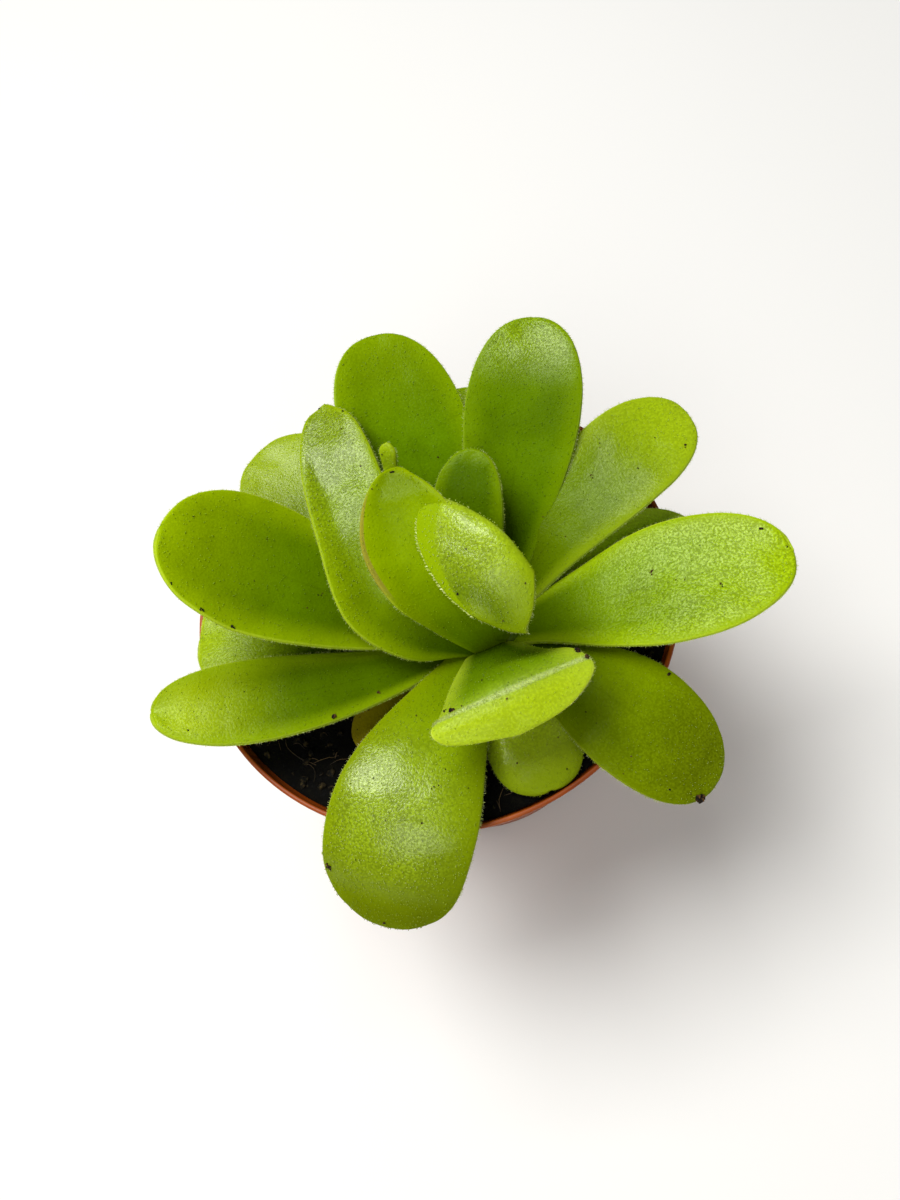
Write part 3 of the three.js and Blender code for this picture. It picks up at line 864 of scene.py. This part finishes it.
def along_places():
    """Places along a leaf, 0 to 1, closer together at the tip."""
    return [1 - (1 - i / ROWS) ** TIP_CROWDING for i in range(ROWS + 1)]


def arched_blade(leaf):
    """The rows of an arched leaf: at every place along its midrib it bends up to both sides."""
    spine = midrib(leaf)
    rows = []
    for t in along_places():
        step = t * SPINE_STEPS
        low = min(int(step), SPINE_STEPS - 1)
        point, side, up = (between(a, b, step - low) for a, b in zip(spine[low], spine[low + 1]))
        bend = math.radians(leaf["cup"] + leaf["channel"] * (1 - eased(t, 0, 0.35)))
        radius = half_width(leaf, t) / bend
        row = []
        for across in across_places():
            angle = bend * across
            row.append(point + side * radius * math.sin(angle) + up * radius * (1 - math.cos(angle)))
        rows.append(row)
    return np.array(rows)


def folded_blade(leaf):
    """The rows of a folded leaf: smooth lines across its guide lines, which meet at the tip."""
    lines = [[np.array(point, float) for point in (*line, leaf["tip"])] for line in leaf["lines"]]
    rows = []
    for i in range(ROWS + 1):
        t = min(i / ROWS, 0.99)
        section = [smooth_line(line, t) for line in lines]
        rows.append([smooth_line(section, (across + 1) / 2) for across in across_places()])
    rows = np.array(rows)
    if "corner" in leaf:
        place, pull = leaf["corner"]
        near = np.clip(1 - abs(np.arange(ROWS + 1) / ROWS - place) / 0.1, 0, 1) ** 2
        reach = np.clip((np.array(across_places()) - 0.6) / 0.4, 0, 1) ** 2
        rows += near[:, None, None] * reach[None, :, None] * np.array(pull)
    return rows


def blade_normals(blade):
    """The ways out of the upper face of a blade."""
    along = np.gradient(blade, axis=0)
    across = np.gradient(blade, axis=1)
    normals = unit(np.cross(across, along))
    normals[0], normals[-1] = normals[1], normals[-2]
    return normals if normals[..., 2].mean() > 0 else -normals


def values_of(name):
    """The values that a leaf is made from."""
    return FOLDED_LEAVES.get(name) or {**USUAL_LEAF, **ARCHED_LEAVES[name]}


def leaf_blade(name):
    """The middle surface of a leaf as rows of points, gently uneven as a grown leaf is, and its normals."""
    blade = (folded_blade if name in FOLDED_LEAVES else arched_blade)(values_of(name))
    normals = blade_normals(blade)
    lift = np.zeros(blade.shape[:2])
    for i, row in enumerate(blade):
        for j, point in enumerate(row):
            loose = abs(across_places()[j]) ** 2 * min(1, i / ROWS * 1.6)
            waves = MARGIN_WAVES.height * loose * noise.noise(Vector(point) / MARGIN_WAVES.size)
            lift[i, j] = waves + DENTS.height * noise.noise(Vector(point) / DENTS.size)
    blade = blade + normals * lift[..., None]
    return blade, blade_normals(blade)


def leaf_thickness(name, blade):
    """How thick a leaf is at each point of its blade: it thins to its margins and its tip."""
    thick = values_of(name)["thick"]
    from_left, from_foot = distances(blade, axis=1), distances(blade, axis=0)
    outwards = np.abs(2 * from_left / np.maximum(from_left[:, -1:], 1e-6) - 1)
    near_tip = np.clip(1 - (from_foot[-1:] - from_foot) / THINNING.tip_reach, 0, 1)
    flat = np.sqrt(1 - THINNING.margins * outwards**3) * (1 - THINNING.tip * near_tip**2)
    flat[:, [0, -1]] *= THINNING.edge
    flat[-1] *= THINNING.edge
    return thick * np.maximum(flat, THINNING.kept), thick


def keep_inside(piece):
    """Brings the points that lie a hair outside the solid part's room back into it."""
    low, high = cad_box
    for vertex in piece.data.vertices:
        vertex.co = [min(max(value, a), b) for value, a, b in zip(vertex.co, low, high)]


def make_leaf(name, finish):
    """A leaf: a grid laid on the blade's form, thickened towards its middle and rounded off."""
    blade, normals = leaf_blade(name)
    thickness, thick = leaf_thickness(name, blade)
    grid = bpy.ops.mesh.primitive_grid_add
    piece = basic_shape(name + "_blade", grid, x_subdivisions=COLUMNS, y_subdivisions=ROWS, size=1)
    mesh = piece.data
    group = piece.vertex_groups.new(name="thickness")
    cells = []
    for vertex in mesh.vertices:
        column, row = round((vertex.co.x + 0.5) * COLUMNS), round((vertex.co.y + 0.5) * ROWS)
        cells.append((column, row))
        vertex.co = Vector(blade[row, column]) * MM
        group.add([vertex.index], thickness[row, column] / thick, "REPLACE")
    layer = mesh.uv_layers[0]
    layer.name = "leaf"
    for loop in mesh.loops:
        column, row = cells[loop.vertex_index]
        layer.data[loop.index].uv = ((across_places()[column] + 1) / 2, along_places()[row])
    wall = piece.modifiers.new("wall", "SOLIDIFY")
    wall.thickness = thick * MM
    wall.offset = 0
    wall.vertex_group = group.name
    wall.thickness_vertex_group = 0
    rounding = piece.modifiers.new("rounding", "SUBSURF")
    rounding.levels = rounding.render_levels = 1
    apply_modifiers(piece)
    keep_inside(piece)
    smooth_shading(piece)
    settle(piece, finish, name)
    return Values(name=name, blade=blade, normals=normals, thickness=thickness)


# ---------------------------------------------------------------- hairs and glands


def small_patterns():
    """The small shapes that are repeated over the leaves and the peat, each modelled once."""
    cone, cylinder = bpy.ops.mesh.primitive_cone_add, bpy.ops.mesh.primitive_cylinder_add
    ball = bpy.ops.mesh.primitive_uv_sphere_add
    open_tube = dict(vertices=3, depth=1, end_fill_type="NOTHING", location=(0, 0, 0.5))
    hair = basic_shape("hair pattern", cone, radius1=1, radius2=0.15, **open_tube)
    stalk = basic_shape("stalk pattern", cylinder, radius=1, **open_tube)
    drop = basic_shape("drop pattern", ball, segments=4, ring_count=3, radius=1)
    crumb = basic_shape("crumb pattern", ball, segments=6, ring_count=5, radius=1)
    for vertex in crumb.data.vertices:
        vertex.co *= 1 + 0.8 * noise.noise(vertex.co * 2.3)
    return {"hair": hair, "stalk": stalk, "drop": drop, "crumb": crumb}


def picked(field, rows, columns):
    """Values of a leaf's field at places given in rows and columns, with fractions."""
    low_row = np.minimum(rows.astype(int), ROWS - 1)
    low_column = np.minimum(columns.astype(int), COLUMNS - 1)
    row_share = (rows - low_row)[:, None]
    column_share = (columns - low_column)[:, None]
    near, far = (
        field[row, low_column] * (1 - column_share) + field[row, low_column + 1] * column_share
        for row in (low_row, low_row + 1)
    )
    return near * (1 - row_share) + far * row_share


def cell_areas(blade):
    """The area of each face of a blade."""
    along = blade[1:, :-1] - blade[:-1, :-1]
    across = blade[:-1, 1:] - blade[:-1, :-1]
    return np.linalg.norm(np.cross(along, across), axis=-1)


def inside_box(tips):
    """Which of these points, in millimetres, lie inside the room that the solid part takes up."""
    low, high = (np.array(corner) / MM for corner in cad_box)
    return np.all((tips > low + 0.05) & (tips < high - 0.05), axis=1)


def random_cells(blade, count):
    """Random places on a leaf, evenly spread, in rows and columns with fractions."""
    areas = cell_areas(blade)
    areas[: ROWS // 8] = 0
    cells = random_numbers.choice(areas.size, count, p=(areas / areas.sum()).ravel())
    rows, columns = np.divmod(cells, COLUMNS)
    return rows + random_numbers.random(count), columns + random_numbers.random(count)


def face_at(leaf, rows, columns):
    """Places on the upper face of a leaf, with the way out of the face at each."""
    out = unit(picked(leaf.normals, rows, columns))
    return picked(leaf.blade, rows, columns) + out * picked(leaf.thickness[..., None], rows, columns) / 2, out


def leaf_places_of(rows, columns):
    """The places across and along a leaf, 0 to 1, of places given in rows and columns."""
    across = np.interp(columns, range(COLUMNS + 1), across_places())
    return np.stack([(across + 1) / 2, np.interp(rows, range(ROWS + 1), along_places())], axis=1)


def glands_on(leaf, per_mm2, patterns, finish):
    """Sticky glands: a short stalk with a drop on it, all over the upper face of a leaf."""
    rows, columns = random_cells(leaf.blade, int(cell_areas(leaf.blade).sum() * per_mm2))
    face, out = face_at(leaf, rows, columns)
    lean = unit(out + random_numbers.normal(0, GLAND.lean, out.shape))
    height = GLAND.stalk * random_numbers.uniform(*GLAND.stalk_spread, len(face))
    size = GLAND.head * random_numbers.uniform(*GLAND.head_spread, len(face))
    kept = inside_box(face + lean * (height + size)[:, None])
    face, lean, height, size = face[kept], lean[kept], height[kept], size[kept]
    spots = leaf_places_of(rows, columns)[kept]
    name, feet = leaf.name, face - lean * GLAND.sunk
    drops = copies(name + "_glands", patterns["drop"], face + lean * height[:, None], lean, size, size, spots)
    stalks = copies(name + "_stalks", patterns["stalk"], feet, lean, height, GLAND.stalk_width, spots)
    glands = joined(name + "_glands", [drops, stalks])
    smooth_shading(glands)
    settle(glands, finish)


def margin_places(blade):
    """Places just inside the margin, in order round a leaf, with the way out of the blade at each."""
    first = int(ROWS * FRINGE.start)
    left = [(blade[i, 0], blade[i, 0] - blade[i, 2]) for i in range(first, ROWS + 1)]
    right = [(blade[i, COLUMNS], blade[i, COLUMNS] - blade[i, COLUMNS - 2]) for i in range(ROWS, first - 1, -1)]
    places = np.array([place for place, _ in left + right])
    outwards = np.array([way for _, way in left + right])
    ahead = blade[ROWS, COLUMNS // 2] - blade[ROWS - 2, COLUMNS // 2]
    tip = len(left)
    outwards[tip - 2 : tip + 2] += ahead
    return places, unit(outwards)


def fringe_on(leaf, patterns):
    """Fine hairs that stand out all along the margin of a leaf."""
    places, outwards = margin_places(leaf.blade)
    distance = distances(places)
    count = int(distance[-1] / FRINGE.spacing)
    spots = np.sort(random_numbers.uniform(0, distance[-1], count))
    place = read_off(spots, distance, places)
    way = unit(read_off(spots, distance, outwards))
    way = unit(way + random_numbers.normal(0, FRINGE.lean, (count, 3)))
    length = FRINGE.length * random_numbers.uniform(*FRINGE.spread, count)
    kept = inside_box(place + way * length[:, None])
    return copies(leaf.name + "_hairs", patterns["hair"], place[kept], way[kept], length[kept], FRINGE.width)


def bristles_on(leaf, patterns):
    """Stout bristles, each with a drop of sap, in a row along the left margin of a leaf."""
    first = int(ROWS * BRISTLES.start)
    margin, inner = leaf.blade[first:, 0], leaf.blade[first:, 2]
    distance = distances(margin)
    spots = np.arange(BRISTLES.spacing / 2, distance[-1], BRISTLES.spacing)
    spots = spots + random_numbers.uniform(-BRISTLES.shift, BRISTLES.shift, len(spots))
    place = read_off(spots, distance, margin)
    way = unit(read_off(spots, distance, margin - inner))
    way = unit(way + random_numbers.normal(0, BRISTLES.lean, place.shape))
    length = BRISTLES.length * random_numbers.uniform(*BRISTLES.spread, len(spots))
    name, head, sunk = leaf.name, BRISTLES.head, BRISTLES.sunk
    stems = copies(name + "_bristles", patterns["stalk"], place - way * sunk, way, length, BRISTLES.width)
    heads = place + way * (length - sunk)[:, None]
    return [stems, copies(name + "_bristle_drops", patterns["drop"], heads, way, head, head)]


def ridge_hairs(leaf, patterns):
    """Down on the ridge of the folded leaf."""
    count, inset = RIDGE_HAIRS.count, RIDGE_HAIRS.inset
    rows = np.clip(random_numbers.normal(RIDGE_HAIRS.along, RIDGE_HAIRS.reach, count), 0, 1) * ROWS
    face, out = face_at(leaf, rows, random_numbers.uniform(inset, COLUMNS - inset, count))
    lean = unit(out + random_numbers.normal(0, RIDGE_HAIRS.lean, out.shape))
    length = random_numbers.uniform(*RIDGE_HAIRS.length, count)
    feet = face - out * RIDGE_HAIRS.sunk
    return copies(leaf.name + "_ridge", patterns["hair"], feet, lean, length, RIDGE_HAIRS.width)


def specks_on(leaf, patterns, finish):
    """Specks and little heaps of peat that stuck to a leaf."""
    face, out = face_at(leaf, *random_cells(leaf.blade, SPECKS.count))
    size = random_numbers.uniform(*SPECKS.radius, SPECKS.count)
    shift, crumbs = HEAP.shift, HEAP.crumbs
    for across, along, width in HEAPS_ON_LEAVES.get(leaf.name, []):
        row = np.abs(np.array(along_places()) - along).argmin()
        rows = np.clip(row + random_numbers.uniform(-shift, shift, crumbs), 0, ROWS)
        column = (math.asin(across) / math.pi + 0.5) * COLUMNS
        columns = np.clip(column + random_numbers.uniform(-shift, shift, crumbs), 0, COLUMNS)
        place, way = face_at(leaf, rows, columns)
        face, out = np.concatenate([face, place]), np.concatenate([out, way])
        size = np.concatenate([size, width / 2 * random_numbers.uniform(*HEAP.spread, crumbs)])
    axes = unit(out + random_numbers.normal(0, 0.6, out.shape))
    kept = inside_box(face + out * size[:, None])
    places, size = (face + out * size[:, None] * 0.4)[kept], size[kept]
    specks = copies(leaf.name + "_specks", patterns["crumb"], places, axes[kept], size * 0.7, size)
    settle(specks, finish)


def dress_leaf(leaf, glaze, patterns, finishes, gland):
    """Adds the specks, glands and hairs of a leaf; glaze is how sticky it is at most, 0 to 1."""
    specks_on(leaf, patterns, finishes["speck"])
    if leaf.name == "leaf_old":
        return
    glands_on(leaf, between(*GLANDS_PER_MM2, glaze), patterns, gland)
    hairs = [fringe_on(leaf, patterns)]
    if leaf.name == "leaf_folded_front":
        hairs.append(ridge_hairs(leaf, patterns))
    if leaf.name == "leaf_heart":
        hairs += bristles_on(leaf, patterns)
    settle(joined(leaf.name + "_hairs", hairs), finishes["hair"])


# ---------------------------------------------------------------- pot, peat and stem


def arc(centre, radius, start, end, steps):
    """Points of a round corner in a profile; angles in degrees from the radius axis."""
    angles = [math.radians(between(start, end, i / steps)) for i in range(steps + 1)]
    return [(centre[0] + radius * math.cos(a), centre[1] + radius * math.sin(a)) for a in angles]


def pot_profile():
    base, rim, top = POT.base_radius, POT.rim_radius, POT.height
    step = top - POT.rim_band
    inner = rim - POT.rim_width
    floor, wall = POT.floor, POT.wall
    outside = [
        (8, 0),
        *arc((base - 1.3, 1.5), 1.5, -90, -12, 6),
        (rim - 2.3, step - 0.5),
        (rim - 2.1, step - 0.2),
        (rim - 1.4, step - 0.05),
        (rim - 1.1, step + 0.1),
        (rim - 0.97, step + 0.4),
        (rim - 0.3, top - 1.4),
        (rim - 0.32, top - 1.28),
        (rim - 0.45, top - 1.16),
        (rim - 0.45, top - 1.06),
        (rim - 0.2, top - 0.92),
        (rim - 0.08, top - 0.75),
        *arc((rim - 0.4, top - 0.4), 0.4, -15, 90, 7),
        *arc((inner + 0.3, top - 0.3), 0.3, 90, 180, 5),
    ]
    inside = [
        (inner, top - 0.6),
        (inner - 0.45, step + 1.2),
        (inner - 0.8, step + 0.8),
        (rim - 2.3 - wall, step - 0.2),
        (base + 0.2 - wall, floor + 1.3),
        (base - 0.4 - wall, floor + 0.4),
        (base - 1.4 - wall, floor),
        (8, floor),
    ]
    return outside + inside


def make_pot(finish):
    pot = turned("nursery_pot", pot_profile(), POT.sides)
    for i in range(POT.holes):
        angle = (i + 0.5) * 2 * math.pi / POT.holes
        place = (POT.hole_circle * math.cos(angle) * MM, POT.hole_circle * math.sin(angle) * MM, 0)
        hole = dict(vertices=32, radius=POT.hole_radius * MM, depth=8 * MM, location=place)
        drill = basic_shape("drill", bpy.ops.mesh.primitive_cylinder_add, **hole)
        cut = pot.modifiers.new("hole", "BOOLEAN")
        cut.operation = "DIFFERENCE"
        cut.object = drill
        apply_modifiers(pot)
        bpy.data.objects.remove(drill)
    smooth_shading(pot, 38)
    return settle(pot, finish, "pot")


def inner_radius(z):
    """How far the pot's wall is from its axis, inside, at a height."""
    low = POT.base_radius + 0.2 - POT.wall
    high = POT.rim_radius - 2.3 - POT.wall
    foot = POT.floor + 1.2
    return between(low, high, (z - foot) / (POT.height - POT.rim_band - 0.2 - foot))


def heaped(x, y):
    """0 round the stem and 1 at the pot's wall."""
    return eased(math.hypot(x, y), PEAT.heap_from, POT.rim_radius - POT.rim_width)


def peat_height(x, y):
    """The height of the peat's top, without its lumps."""
    waves = (
        math.sin(x * 0.31 + y * 0.17)
        + math.sin(y * 0.37 - x * 0.12 + 1.3)
        + math.sin(x * 0.83 + 2) * math.cos(y * 0.71)
    )
    heap = heaped(x, y)
    return PEAT.top + PEAT.heap * heap + PEAT.bump * (1 - 0.7 * heap) * waves / 2.5


def rough_peat_height(x, y):
    spot = Vector((x, y, 3))
    lumps = sum(height * noise.noise(spot / size) for height, size in LUMPS)
    return peat_height(x, y) + lumps * (1 - 0.6 * heaped(x, y))


def peat_edge():
    return POT.rim_radius - POT.rim_width - 0.7


def make_peat(finish):
    """The plug of peat, with a crumbly top that is heaped up to the pot's wall."""
    floor, step, gap = POT.floor + PEAT.gap, POT.height - POT.rim_band, PEAT.gap
    profile = [
        (6, floor),
        (inner_radius(POT.floor + 1.2) - 1.8, floor),
        (inner_radius(POT.floor + 1.5) - gap, POT.floor + 1.5),
        (inner_radius(step - 0.2) - gap, step),
        (peat_edge() - 0.15, step + 1.3),
    ]
    profile += [(between(peat_edge(), 1, i / PEAT.rings), POT.height) for i in range(PEAT.rings + 1)]
    peat = turned("peat_plug", profile, PEAT.sides)
    for vertex in peat.data.vertices:
        if vertex.co.z > (POT.height - 0.1) * MM:
            vertex.co.z = rough_peat_height(vertex.co.x / MM, vertex.co.y / MM) * MM
    smooth_shading(peat)
    return settle(peat, finish, "peat")


def spots_on_peat(count, edge_gap):
    """Random places on the peat, evenly spread."""
    reach = peat_edge() - edge_gap
    angle = random_numbers.uniform(0, 2 * math.pi, count)
    radius = reach * np.sqrt(random_numbers.random(count))
    x, y = radius * np.cos(angle), radius * np.sin(angle)
    z = np.array([rough_peat_height(*spot) for spot in zip(x, y)])
    return np.stack([x, y, z], axis=1)


def random_axes(count):
    return unit(random_numbers.normal(0, 1, (count, 3)))


def strew(name, pattern, size, edge_gap, finish):
    """Copies of a pattern, a little flattened, that lie on the peat."""
    places = spots_on_peat(len(size), edge_gap)
    settle(copies(name, pattern, places, random_axes(len(size)), size * 0.8, size), finish)


def make_crumbs(pattern, finishes):
    """Loose peat crumbs and pale grains that lie on the peat."""
    size = CRUMBS.smallest + CRUMBS.growth * random_numbers.random(CRUMBS.count) ** 3
    strew("peat_crumbs", pattern, size, CRUMBS.edge_gap, finishes["crumb"])
    size = random_numbers.uniform(*GRAINS.radius, GRAINS.count)
    strew("peat_grains", pattern, size, GRAINS.edge_gap, finishes["grain"])


def fibre(start, heading, length):
    """Points along one springy fibre that lies on the peat and turns back at the pot's wall."""
    place, steps = np.array(start), FIBRES.points
    points = []
    curl = random_numbers.normal(0, FIBRES.curl)
    for i in range(steps):
        arch = FIBRES.arch * math.sin(math.pi * i / (steps - 1)) * random_numbers.uniform(0.2, 1)
        z = rough_peat_height(place[0], place[1]) + (FIBRES.clear + arch)
        points.append((place[0], place[1], z))
        heading += curl / steps * 2 + random_numbers.normal(0, FIBRES.wander)
        if math.hypot(place[0], place[1]) > peat_edge() - 1.5:
            heading = math.atan2(-place[1], -place[0])
        place[:2] += length / steps * np.array((math.cos(heading), math.sin(heading)))
    return points


def make_fibres(finish):
    """Root and moss fibres: fine tubes, wider in their middle."""
    curve = bpy.data.curves.new("peat_fibres", "CURVE")
    curve.dimensions = "3D"
    curve.bevel_depth = FIBRES.radius * MM
    curve.bevel_resolution = 0
    curve.use_fill_caps = True
    for start in spots_on_peat(FIBRES.count, FIBRES.edge_gap):
        heading = random_numbers.uniform(0, 2 * math.pi)
        points = fibre(start, heading, FIBRES.shortest + FIBRES.growth * random_numbers.random() ** 2)
        line = curve.splines.new("POLY")
        line.points.add(len(points) - 1)
        thick = random_numbers.uniform(*FIBRES.thickness)
        for i, (spot, point) in enumerate(zip(line.points, points)):
            spot.co = (*[value * MM for value in point], 1)
            spot.radius = thick * (0.45 + 0.55 * math.sin(math.pi * (i + 0.5) / len(points)))
    fibres = placed("peat_fibres", curve)
    choose(fibres)
    bpy.ops.object.convert(target="MESH")
    smooth_shading(fibres)
    return settle(fibres, finish)


def make_stem(finish):
    top, neck, crown = STEM.crown_height, STEM.neck_radius, STEM.crown_radius
    profile = [
        (0.6, PEAT.top - 12),
        (STEM.root_radius, PEAT.top - 11.6),
        (neck, PEAT.top - 2),
        (neck + 0.5, PEAT.top + 1.5),
        (crown - 0.4, PEAT.top + 3),
        (crown, PEAT.top + 4.4),
        (crown - 0.6, top - 2.4),
        (crown - 1.5, top - 1.1),
        (crown - 2.6, top - 0.4),
        (0.6, top),
    ]
    stem = turned("short_stem", profile, 48)
    for vertex in stem.data.vertices:
        swell = 1 + 0.1 * noise.noise(vertex.co / MM / 3)
        vertex.co.x = STEM.x * MM + vertex.co.x * swell
        vertex.co.y = STEM.y * MM + vertex.co.y * swell
    smooth_shading(stem)
    return settle(stem, finish, "stem")


# ---------------------------------------------------------------- stage


def make_floor(finish):
    floor = basic_shape("floor", bpy.ops.mesh.primitive_plane_add, size=6)
    floor.data.materials.append(finish)


# Soft boxes that face the plant: place, length, width, the way their length is laid, power and tint.
LIGHTS = {
    "window": ((-280, 280, 990), 620, 600, (0, 1, 0), 11.5, (1, 0.99, 0.95)),
    "front fill": ((-260, -560, 800), 500, 500, (1, 0, 0), 3, (1, 0.99, 0.96)),
}
LIT_HEIGHT = 70  # the height that the lights are aimed at
ROOM_LIGHT = Values(tint=(1, 0.99, 0.96, 1), strength=0.12)


def stand(piece, place, right, up, back):
    """Sets a lamp or the camera at a place (mm), turned so that it looks away from its back."""
    turn = Matrix((right, up, back)).transposed().to_4x4()
    piece.matrix_world = Matrix.Translation(Vector(place) * MM) @ turn


def soft_light(name, place, length, width, along, power, tint):
    light = bpy.data.lights.new(name, "AREA")
    light.shape = "RECTANGLE"
    light.size, light.size_y = width * MM, length * MM
    light.energy = power
    light.color = tint
    back = (Vector(place) - Vector((0, 0, LIT_HEIGHT))).normalized()
    side = Vector(along).cross(back).normalized()
    stand(placed(name, light), place, side, back.cross(side), back)


def make_light():
    for name, values in LIGHTS.items():
        soft_light(name, *values)
    world = bpy.data.worlds.new("studio")
    bpy.context.scene.world = world
    world.use_nodes = True
    background = world.node_tree.nodes["Background"]
    background.inputs["Color"].default_value = ROOM_LIGHT.tint
    background.inputs["Strength"].default_value = ROOM_LIGHT.strength


# The camera looks down on the rosette; distances in millimetres.
CAMERA = Values(
    target=(0, 0, 64), elevation=63.3, roll=-19.3, distance=158, right=3.3, up=-1.9,
    lens=27.03, sensor=36, near=5
)


def make_camera():
    tilt, roll = math.radians(CAMERA.elevation), math.radians(CAMERA.roll)
    back = Vector((0, -math.cos(tilt), math.sin(tilt)))
    level, rise = Vector((1, 0, 0)), Vector((0, math.sin(tilt), math.cos(tilt)))
    right = level * math.cos(roll) + rise * math.sin(roll)
    up = rise * math.cos(roll) - level * math.sin(roll)
    place = Vector(CAMERA.target) + back * CAMERA.distance + right * CAMERA.right + up * CAMERA.up
    data = bpy.data.cameras.new("camera")
    data.lens = CAMERA.lens
    data.sensor_width = CAMERA.sensor
    data.clip_start = CAMERA.near * MM
    bpy.context.scene.camera = placed("camera", data)
    stand(bpy.context.scene.camera, place, right, up, back)


# ---------------------------------------------------------------- assembly

patterns = small_patterns()
small = small_finishes()

make_pot(pot_finish())
make_peat(peat_finish())
make_crumbs(patterns["crumb"], small)
make_fibres(small["fibre"])
make_stem(stem_finish())
looks = {name: Values(**{**USUAL_LOOK, **look}) for name, look in LEAF_LOOKS.items()}
skins = {name: leaf_finish(name, look) for name, look in looks.items()}
glands = {name: gland_finish(name, look) for name, look in looks.items()}
for leaf_name, look_name in LOOK_OF.items():
    new_leaf = make_leaf(leaf_name, skins[look_name])
    dress_leaf(new_leaf, looks[look_name].glaze[0], patterns, small, glands[look_name])
for pattern in patterns.values():
    bpy.data.objects.remove(pattern)

make_floor(floor_finish())
make_light()
make_camera()
bpy.context.scene.view_settings.view_transform = "Standard"
